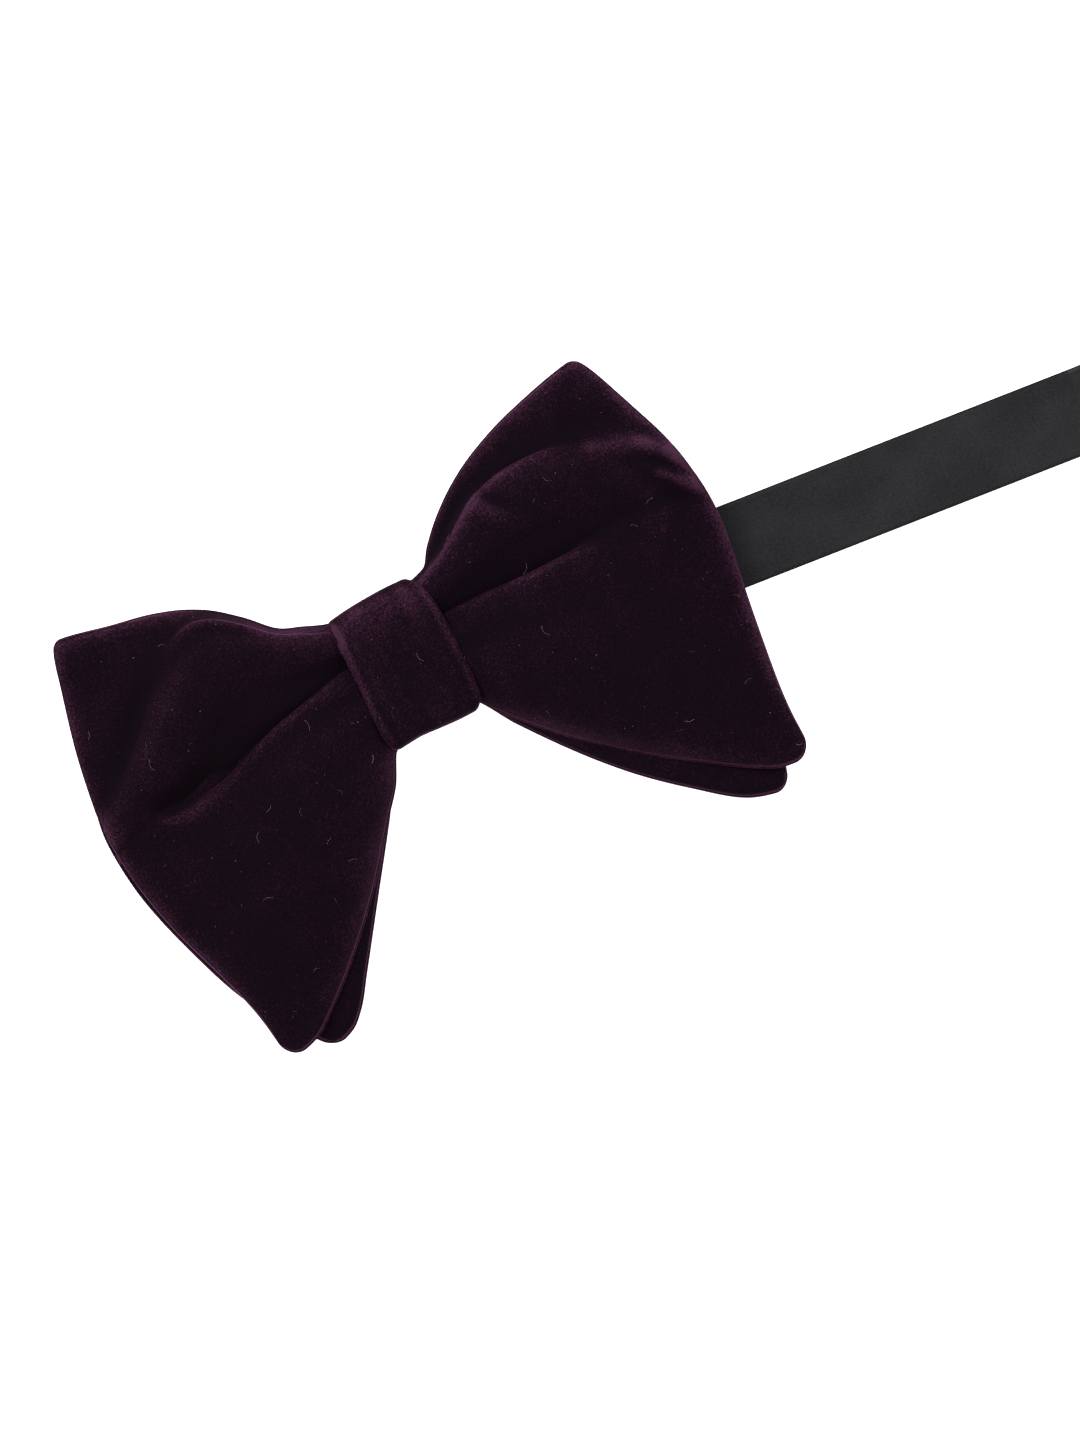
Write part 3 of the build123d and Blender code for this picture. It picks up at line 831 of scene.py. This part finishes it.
frontBow = makePouch(
    "frontBow",
    (frontLeft, frontRight),
    frontWrinkles,
    frontPaintedLight,
    ["front_bow_face", "front_bow_interlining", "front_bow_back"],
)
makePouch(
    "rearBow",
    (rearLeft, rearRight),
    rearWrinkles,
    rearPaintedLight,
    ["rear_bow_face", "rear_bow_interlining", "rear_bow_back"],
)
print("bows made")


# the knot: a rounded box outline, squarer with a higher power
def rounded(angle, power):
    c, s = np.cos(angle), np.sin(angle)
    return np.sign(c) * np.abs(c) ** (2 / power), np.sign(s) * np.abs(s) ** (2 / power)


# the same loop with its points evenly spaced
def evenLoop(power, width, tall, count):
    c, s = rounded(np.linspace(0, 2 * math.pi, 6001), power)
    c, s = c * width, s * tall
    lengths = np.concatenate([[0], np.cumsum(np.hypot(np.diff(c), np.diff(s)))])
    at = np.linspace(0, lengths[-1], count, endpoint=False)
    return np.interp(at, lengths, c), np.interp(at, lengths, s)


# a closed strip with folded edges that runs round the waist in Y and Z
def makeKnot():
    knot = {
        "left": through((-16, -10.9), (-12, -11.3), (-5, -11), (0, -10.5), (5, -10.2), (16, -9.9)),
        "right": through(
            (-16, 8.8), (-14, 10.4), (-10, 11.3), (-5, 11.7), (0, 12.2), (5, 12.3), (10, 12), (13, 11.4),
            (16, 9.6),
        ),
        "backLeft": -10.6,
        "backRight": 10.4,
        "halfWide": 11,
        "hem": 2.1,
        "halfThick": 1.15,
        "seam": 3.2,
        "around": 300,
        "across": 120,
        # the weights of the knot's painted light and shade
        "paintedLight": {"base": 0.36, "fine": 0.8, "broad": 0.08, "around": 12.4, "rim": 0.5},
    }
    (_, bottom, lowZ), (_, top, highZ) = ([v / mm for v in corner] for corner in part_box("knot_wrap"))
    y, z = evenLoop(4.2, (top - bottom) / 2, (highZ - lowZ) / 2, knot["around"])
    y, z = y + (top + bottom) / 2, z + (highZ + lowZ) / 2
    back = ease(-z, -(highZ + lowZ) / 2, -lowZ)
    left = knot["left"](y) * (1 - back) + knot["backLeft"] * back
    right = knot["right"](y) * (1 - back) + knot["backRight"] * back
    path = np.stack([np.zeros_like(y), y, z], 1)
    way = np.roll(path, -1, 0) - np.roll(path, 1, 0)
    way /= np.linalg.norm(way, axis=1, keepdims=True)
    out = np.stack([np.zeros_like(y), -way[:, 2], way[:, 1]], 1)
    out *= np.sign((out * (path - path.mean(0))).sum(1, keepdims=True))
    c, s = evenLoop(3.2, knot["halfWide"], knot["halfThick"], knot["across"])
    c, s = c / knot["halfWide"], s / knot["halfThick"]
    middle, half = (left + right) / 2, (right - left) / 2
    x = middle[:, None] + half[:, None] * c[None, :]
    lift = -knot["halfThick"] * (1 - s[None, :]) + 0 * x
    face = ease(s, 0.3, 0.95)[None, :] * (1 - back[:, None])
    flat = face * ease(out[:, 2], 0.2, 0.9)[:, None]
    yy = y[:, None] + 0 * x
    # its foot hangs lower on the right than in the middle
    low = ease(-yy, 2, 15) * (1 - back[:, None])
    sag = low * (0.9 * ease(x, -1, 9) - 0.6 * np.exp(-(((x + 4.6) / 3.5) ** 2)))
    hems = 0 * x
    # the hems along both sides, with a groove inside each
    for side, edge in ((-1, left), (1, right)):
        inset = (x - edge[:, None]) * -side
        inset = inset - knot["hem"] - 0.25 * np.sin(0.3 * yy + side)
        groove, swell = np.exp(-((inset / 0.6) ** 2)), np.exp(-(((inset + 1.2) / 1.1) ** 2))
        lift += face * 0.25 * swell - flat * 0.36 * groove
        # hems: painted highlight on each hem's swell and painted shade in its groove
        hems += (0.20 if side < 0 else 0.16) * swell - 0.06 * groove
    # creases along the strip, pulled together at its ends
    wander = 0.9 * np.sin(0.16 * yy + 0.7) + 0.35 * np.sin(0.47 * yy + 2)
    ripple = 0.08 * np.sin(0.75 * (x + wander) + 0.4) + 0.045 * np.sin(1.7 * (x + 0.6 * wander) + 1.8)
    ripple *= 1 + 0.8 * np.sin(0.35 * yy + 0.5 * x)
    ripple += fold(x, yy, [(-3.6, 17), (-2.6, 6), (-3.4, -5), (-2.4, -15)], 0.9, 0.9, 0.3, (0.05, 0.4))
    ripple += fold(x, yy, [(4.4, 17), (5.2, 8), (4.6, 0)], 0.8, 1.4, -0.28, (0.05, 0.5))
    inside = np.clip(np.minimum(x - left[:, None], right[:, None] - x) - knot["hem"], 0, 1.5) / 1.5
    lift += flat * ripple * inside + face * 0.30 * (1 - c[None, :] ** 2)
    points = path[:, None, :] + out[:, None, :] * lift[:, :, None]
    points[:, :, 0] = x
    points[:, :, 1] -= sag
    points[:, :, 2] = np.maximum(points[:, :, 2], lowZ)
    seam = np.exp(-(((x - knot["seam"]) / 0.45) ** 2)) * ease(s, 0.3, 0.95)[None, :]
    points[:, :, 2] += 0.4 * seam * ease(-points[:, :, 2], -1.5, -0.5) * ease(-np.abs(yy), -13, -11)
    faces = gridFaces(knot["around"], knot["across"], closed=True)
    last = (knot["around"] - 1) * knot["across"]
    for k in range(knot["across"]):
        n = (k + 1) % knot["across"]
        faces.append((last + k, last + n, n, k))
    piece = addMesh("knotWrap", points.reshape(-1, 3), faces, velvet)
    over = paintedLightOver(points, velvetPaintedLight | knot["paintedLight"])
    # painted light and shade of the knot's relief and hems, a little lighter towards +y
    paintedLight = over(points.reshape(-1, 3)) + (hems + 0.2 * ease(yy, -2, 14)).reshape(-1)
    hidden = ease(-points[:, :, 2].reshape(-1), -(highZ + lowZ) / 2, -lowZ)
    storePaintedLight(piece, paintedLight * (1 - hidden) + hiddenPaintedLight * hidden)
    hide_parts("knot_wrap", "knot_canvas")
    return piece


knotWrap = makeKnot()
print("knot made")


# a Geometry Nodes tree with these named inputs, given as (name, kind, value)
def geometryTree(name, inputs):
    tree = bpy.data.node_groups.new(name, "GeometryNodeTree")
    tree.interface.new_socket("Geometry", in_out="INPUT", socket_type="NodeSocketGeometry")
    for label, kind, value in inputs:
        socket = tree.interface.new_socket(label, in_out="INPUT", socket_type="NodeSocket" + kind)
        if value is not None:
            socket.default_value = value
    tree.interface.new_socket("Geometry", in_out="OUTPUT", socket_type="NodeSocketGeometry")
    return tree, tree.nodes.new("NodeGroupInput").outputs


# every tree ends in plain geometry that has its material
def endTree(tree, geometry, material):
    real = addNode(tree, "GeometryNodeRealizeInstances", {0: geometry})
    coloured = addNode(tree, "GeometryNodeSetMaterial", {"Geometry": real, "Material": material})
    addNode(tree, "NodeGroupOutput", {0: coloured})
    return tree


def threadAlong(tree, curve, radius, sides):
    ring = addNode(tree, "GeometryNodeCurvePrimitiveCircle", {"Resolution": sides, "Radius": radius})
    values = {"Curve": curve, "Profile Curve": ring, "Fill Caps": True}
    return addNode(tree, "GeometryNodeCurveToMesh", values)


# lint: short pale hairs and specks of dust caught in the pile
def lintTree():
    inputs = (
        ("Hairs per m2", "Float", 5500.0),
        ("Specks per m2", "Float", 14000.0),
        ("Hair Length", "Float", 0.0022),
        ("Hair Radius", "Float", 0.000015),
        ("Speck Radius", "Float", 0.00006),
        ("Seed", "Int", 3),
        ("Material", "Material", None),
    )
    tree, given = geometryTree("lintTree", inputs)
    # only cloth that faces up catches dust
    up = addNode(tree, "ShaderNodeSeparateXYZ", {0: tree.nodes.new("GeometryNodeInputNormal")})
    faces = addNode(tree, "FunctionNodeCompare", {0: up.outputs["Z"], 1: 0.55}, operation="GREATER_THAN")
    bend = {"Start": (-0.5, 0.0, 0.0), "Middle": (0.05, 0.34, 0.12), "End": (0.5, -0.06, 0.04)}
    hair = addNode(tree, "GeometryNodeCurveQuadraticBezier", bend | {"Resolution": 5})
    size = addNode(tree, "ShaderNodeCombineXYZ", {i: given["Hair Length"] for i in range(3)})
    longHair = addNode(tree, "GeometryNodeTransform", {0: hair, "Scale": size})
    strand = threadAlong(tree, longHair, given["Hair Radius"], 3)
    speck = addNode(tree, "GeometryNodeMeshIcoSphere", {"Radius": given["Speck Radius"], "Subdivisions": 1})
    joined = tree.nodes.new("GeometryNodeJoinGeometry")
    for k, (shape, density) in enumerate(((strand, "Hairs per m2"), (speck, "Specks per m2"))):
        seed = maths(tree, "ADD", given["Seed"], float(10 * k))
        spread = {"Mesh": given["Geometry"], "Selection": faces, "Density": given[density], "Seed": seed}
        spots = addNode(tree, "GeometryNodeDistributePointsOnFaces", spread)
        tilt = {"Seed": seed, "Min": (-0.2, -0.2, 0.0), "Max": (0.2, 0.2, 6.283)}
        spin = addNode(tree, "FunctionNodeRandomValue", tilt, data_type="FLOAT_VECTOR")
        turns = {"Rotation": spots.outputs["Rotation"], "Rotate By": spin}
        turned = addNode(tree, "FunctionNodeRotateRotation", turns, rotation_space="LOCAL")
        sizes = addNode(tree, "FunctionNodeRandomValue", {"Seed": seed, 2: 0.35, 3: 1.25}, data_type="FLOAT")
        places = {"Points": spots, "Instance": shape, "Rotation": turned, "Scale": sizes.outputs[1]}
        placed = addNode(tree, "GeometryNodeInstanceOnPoints", places)
        tree.links.new(placed.outputs[0], joined.inputs[0])
    return endTree(tree, joined, given["Material"])


# the evaluated result of a tree over a copy of a piece, as a plain mesh of its own
def growOn(name, mesh, tree, values, body="bow"):
    carrier = bpy.data.objects.new(name + "Carrier", mesh)
    bpy.context.scene.collection.objects.link(carrier)
    modifier = carrier.modifiers.new("grow", "NODES")
    modifier.node_group = tree
    for item in tree.interface.items_tree:
        if item.in_out == "INPUT" and item.name in values:
            modifier[item.identifier] = values[item.name]
    depsgraph = bpy.context.evaluated_depsgraph_get()
    mesh = bpy.data.meshes.new_from_object(carrier.evaluated_get(depsgraph))
    bpy.data.objects.remove(carrier)
    mesh.name = name
    piece = bpy.data.objects.new(name, mesh)
    bpy.context.scene.collection.objects.link(piece)
    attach(piece, body)
    return piece


# stitches: two-ply thread in short arches along a row
def stitchTree():
    inputs = (
        ("Stitches", "Int", 9),
        ("Length", "Float", 0.0013),
        ("Thread Radius", "Float", 0.00008),
        ("Rise", "Float", 0.00004),
        ("Turn", "Float", 0.0),
        ("Material", "Material", None),
    )
    tree, given = geometryTree("stitchTree", inputs)
    half = maths(tree, "MULTIPLY", given["Thread Radius"], 0.5)
    coil = {"Resolution": 10, "Rotations": 2.5, "Start Radius": half, "End Radius": half}
    ply = addNode(tree, "GeometryNodeCurveSpiral", coil | {"Height": given["Length"]})
    strand = threadAlong(tree, ply, half, 6)
    other = addNode(tree, "GeometryNodeTransform", {0: strand, "Rotation": (0, 0, math.pi)})
    thread = tree.nodes.new("GeometryNodeJoinGeometry")
    for twisted in (strand, other):
        tree.links.new(twisted.outputs[0], thread.inputs[0])
    # bend it: the middle rises and the ends dive into the cloth
    place = addNode(tree, "ShaderNodeSeparateXYZ", {0: tree.nodes.new("GeometryNodeInputPosition")})
    share = maths(tree, "DIVIDE", place.outputs["Z"], given["Length"])
    arch = maths(tree, "SINE", maths(tree, "MULTIPLY", share, math.pi))
    shift = addNode(tree, "ShaderNodeCombineXYZ", {"X": maths(tree, "MULTIPLY", arch, given["Rise"])})
    bent = addNode(tree, "GeometryNodeSetPosition", {0: thread, "Offset": shift})
    back = addNode(tree, "ShaderNodeCombineXYZ", {"Z": maths(tree, "MULTIPLY", given["Length"], -0.5)})
    centred = addNode(tree, "GeometryNodeTransform", {0: bent, "Translation": back})
    # the thread lies along X, with its arch up
    laid = addNode(tree, "GeometryNodeTransform", {0: centred, "Rotation": (0, -math.pi / 2, 0)})
    curve = addNode(tree, "GeometryNodeMeshToCurve", {0: given["Geometry"]})
    even = addNode(tree, "GeometryNodeResampleCurve", {0: curve, "Count": given["Stitches"]})
    along = addNode(tree, "ShaderNodeSeparateXYZ", {0: tree.nodes.new("GeometryNodeInputTangent")})
    heading = maths(tree, "ARCTAN2", along.outputs["Y"], along.outputs["X"])
    spin = addNode(tree, "ShaderNodeCombineXYZ", {"Z": maths(tree, "ADD", heading, given["Turn"])})
    rotation = addNode(tree, "FunctionNodeEulerToRotation", {0: spin})
    places = {"Points": even, "Instance": laid, "Rotation": rotation}
    placed = addNode(tree, "GeometryNodeInstanceOnPoints", places)
    return endTree(tree, placed, given["Material"])


sewing = stitchTree()


# a row of stitches for each line of mm points
def sewRows(name, lines, values, replaced):
    mesh = bpy.data.meshes.new(name + "Rows")
    ends = [tuple(np.array(p) * mm) for line in lines for p in line]
    mesh.from_pydata(ends, [(2 * i, 2 * i + 1) for i in range(len(lines))], [])
    piece = growOn(name, mesh, sewing, values)
    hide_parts(replaced)


dustTree = lintTree()
for name, piece, seed in (("frontLint", frontBow, 3), ("knotLint", knotWrap, 8)):
    growOn(name, piece.data.copy(), dustTree, {"Seed": seed, "Material": lint})
print("lint made")

# the neck band, in mm: z of its plies, radii of its turns, and where things sit along it
band = {
    "angle": math.radians(-8.6),
    "height": -2.1,
    "width": 18.2,
    "thick": 0.8,
    "low": 0.4,
    "ply": 0.84,
    "knotZ": 3.3,
    "turn": 0.91,
    "eye": -57.0,
    "split": 82.0,
    "adjuster": 166.0,
    "hook": 281.0,
    "turnBack": 9.0,
    "hookSpare": 3.0,
    "span": 16.0,
    "clear": 0.08,
    "halfPlate": 0.45,
}


# from the band's own directions (along, across, up) to the frame
def fromBand(points):
    points = np.asarray(points, float)
    c, s = math.cos(band["angle"]), math.sin(band["angle"])
    x = points[..., 0] * c - points[..., 1] * s
    y = points[..., 0] * s + points[..., 1] * c + band["height"]
    return np.stack([x, y, points[..., 2]], -1)


# a route of (along, up) points whose corners are arcs, sampled every step mm at most
def roundRoute(points, radii, step=0.9):
    points = [np.array(p, float) for p in points]
    route = [points[0]]
    for before, corner, after, radius in zip(points, points[1:], points[2:], radii):
        a, b = before - corner, after - corner
        a, b = a / np.linalg.norm(a), b / np.linalg.norm(b)
        half = math.acos(np.clip(a @ b, -1, 1)) / 2
        start, end = corner + a * radius / math.tan(half), corner + b * radius / math.tan(half)
        centre = corner + (a + b) / np.linalg.norm(a + b) * radius / math.sin(half)
        for share in np.linspace(0, 1, 8):
            spoke = (start - centre) * (1 - share) + (end - centre) * share
            route.append(centre + spoke / np.linalg.norm(spoke) * radius)
    route.append(points[-1])
    dense = [route[0]]
    for p in route[1:]:
        gap = np.linalg.norm(p - dense[-1])
        if gap < 1e-4:
            continue
        parts = max(1, int(gap / step))
        start = dense[-1]
        dense += [start + (p - start) * (k + 1) / parts for k in range(parts)]
    return np.array(dense)


# one stretch of the pressed satin tube, closed at both ends; its weave starts begins mm along
def makeBand(name, points, radii, replaced, begins=0.0):
    route = roundRoute(points, radii)
    way = np.gradient(route, axis=0)
    way /= np.linalg.norm(way, axis=1, keepdims=True)
    out = np.stack([-way[:, 1], way[:, 0]], 1)
    psi = np.linspace(0, 2 * math.pi, 72, endpoint=False)
    c, s = rounded(psi, 9)
    width, thick = band["width"] / 2, band["thick"] / 2
    pressed = 1 - 0.35 * ease(np.abs(c), 0.93, 0.965) + 0.12 * ease(np.abs(c), 0.8, 0.9)
    t = c * width
    rise = s * thick * pressed
    tube = np.zeros((len(route), len(psi), 3))
    tube[:, :, 0] = route[:, None, 0] + out[:, None, 0] * rise
    tube[:, :, 1] = t
    tube[:, :, 2] = route[:, None, 1] + out[:, None, 1] * rise
    places = fromBand(tube).reshape(-1, 3)
    count, across = len(route), len(psi)
    faces = gridFaces(count, across, closed=True, flip=True)
    places = np.concatenate([places, places[:across], places[-across:]])
    size = count * across
    faces.append(list(range(size, size + across)))
    faces.append(list(range(size + across, size + 2 * across))[::-1])
    piece = addMesh(name, places, faces, satin, body=None)
    length = np.concatenate([[0], np.cumsum(np.linalg.norm(np.diff(route, axis=0), axis=1))])
    grain = piece.data.attributes.new("grain", "FLOAT_VECTOR", "POINT")
    along = begins + np.repeat(length, across)
    values = np.stack([along, np.tile(t, count), np.zeros_like(along)], 1)
    values = np.concatenate([values, values[:across], values[-across:]]) * mm
    grain.data.foreach_set("vector", values.astype(np.float32).ravel())
    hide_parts(*replaced)
    return piece


# a route that runs back over itself round a bar, and the radii of its corners
def turnRoute(bar, away, free):
    low, radius = band["low"], band["turn"]
    upper, top = low + band["ply"], low + 2 * radius
    points = [
        (bar + away * free, upper),
        (bar + away * 4.6, upper),
        (bar + away * 1.6, top),
        (bar - away * radius, top),
        (bar - away * radius, low),
    ]
    return points, [1.4, 1.4, radius - 0.01, radius - 0.01]


# the two layers of a stretch of band
def both(name):
    return [name + "_satin", name + "_interlining"]


def makeBands():
    low, ply, radius = band["low"], band["ply"], band["turn"]
    at = band["adjuster"]
    near, far = at - band["span"], at + band["span"]
    points, radii = turnRoute(band["eye"], 1, band["turnBack"])
    points += [(-25, low), (-17, band["knotZ"]), (17, band["knotZ"]), (25, low), (near, low)]
    front = makeBand("bandFront", points, radii + [8, 8, 8, 8], both("fixed_band") + both("long_band"))
    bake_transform(front)
    endPly, longPly = low + ply, low + 2 * ply
    plate = longPly + band["thick"] / 2 + band["clear"] + band["halfPlate"]
    crossing = plate + radius + ply
    points = [
        (near, low),
        (near + 3, low),
        (at - 9.2, longPly),
        (at - 5.8, longPly),
        (at - 2.4, crossing),
        (at + 2.4, crossing),
        (at + 5.8, longPly),
        (at + 9.4, longPly),
        (far - 3.4, endPly),
        (far, endPly),
    ]
    begins = max(v.vector.x for v in front.data.attributes["grain"].data) / mm
    radii = [2, 2, 0.9, 0.9, 0.9, 0.9, 1.6, 1.6]
    piece = makeBand("bandCrossing", points, radii, both("crossing_band"), begins=begins)
    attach(piece, "adjuster")
    points = [
        (at + band["turnBack"], endPly),
        (at + 3.6, endPly),
        (at + 1.5, plate + radius),
        (at - radius, plate + radius),
        (at - radius, plate - radius),
        (at + 1.2, low),
        (far, low),
    ]
    piece = makeBand("bandTailEnd", points, [0.9, 0.9, radius - 0.01, radius * 0.6, 1.4], both("tail_end"))
    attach(piece, "adjuster")
    hookFree = band["turnBack"] + band["hookSpare"]
    hookNear = band["hook"] - hookFree
    for name, z, node in (("bandDoubled", endPly, "doubled_band"), ("bandTail", low, "tail_band")):
        piece = makeBand(name, [(far, z), (hookNear, z)], [], both(node))
        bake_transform(piece)
    points, radii = turnRoute(band["hook"], -1, hookFree)
    points.append((hookNear, low))
    piece = makeBand("bandTurn", points, radii, both("hook_turn"))
    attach(piece, "band_end")


makeBands()
print("neck band made")

# two rows that hold the turned end of the band behind the eye's bar
tack = {"along": -50.6, "apart": 0.9, "half": 7.6, "level": 1.72}
tackRows = []
for row in range(2):
    along = tack["along"] + row * tack["apart"]
    tackRows.append([fromBand([along, t, tack["level"]]) for t in (-tack["half"], tack["half"])])
sewRows("eyeTack", tackRows, {"Stitches": 9, "Material": blackThread}, "eye_bar_tack")
# the seam on the knot's back: its stitches cross it and arch downwards
seamRow = [[(3.2, -7.8, 0.22), (3.2, 8.4, 0.22)]]
crossed = {"Stitches": 7, "Length": 0.0016, "Turn": math.pi / 2, "Rise": -0.00008, "Material": plumThread}
sewRows("knotSeam", seamRow, crossed, "knot_closing_stitches")
print("stitches made")

# the pieces of the frame that stay as they are, and only need a material
for name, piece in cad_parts.items():
    piece.data.materials.clear()
    piece.data.materials.append(metal if name in ("eye", "hook", "adjuster") else plumThread)

# the floor glows a little, so that it stays white
floorSize = 3.0
floor = bpy.data.meshes.new("floor")
corners = [(x * floorSize, y * floorSize, cadLow.z - 0.0002) for x, y in ((-1, -1), (1, -1), (1, 1), (-1, 1))]
floor.from_pydata(corners, [], [(0, 1, 2, 3)])
floorPiece = bpy.data.objects.new("floor", floor)
bpy.context.scene.collection.objects.link(floorPiece)
floorLook, tree, surface = nodeTree("whitePaper")
setSurface(surface, Base_Color=(0.9, 0.9, 0.9, 1), Roughness=0.9)
setSurface(surface, Emission_Color=(1, 1, 1, 1), Emission_Strength=1.0)
floor.materials.append(floorLook)

world = bpy.data.worlds.new("studio")
bpy.context.scene.world = world
world.use_nodes = True
setSurface(world.node_tree.nodes["Background"], Color=(1, 1, 1, 1), Strength=0.6)


def addLight(name, place, size, power):
    lamp = bpy.data.lights.new(name, "AREA")
    lamp.shape = "RECTANGLE"
    lamp.size, lamp.size_y = size
    lamp.energy = power
    holder = bpy.data.objects.new(name, lamp)
    holder.location = place
    holder.rotation_mode = "QUATERNION"
    holder.rotation_quaternion = holder.location.to_track_quat("Z", "Y")
    bpy.context.scene.collection.objects.link(holder)


addLight("softTop", (-0.25, 0.55, 0.7), (0.5, 0.5), 8.0)
addLight("fill", (0.6, -0.2, 0.6), (0.6, 0.6), 3.0)

# The camera looks straight down and is turned, so that the bow lies with its left wing low.
turn = math.radians(30)
camera = bpy.data.cameras.new("camera")
camera.sensor_width = 36
camera.lens = 110
viewTall = 0.305
distance = viewTall / camera.sensor_width * camera.lens
viewer = bpy.data.objects.new("camera", camera)
viewer.location = (0.0189, -0.0244, distance)
viewer.rotation_euler = (0, 0, -turn)
bpy.context.scene.collection.objects.link(viewer)
bpy.context.scene.camera = viewer
bpy.context.scene.view_settings.view_transform = "Standard"
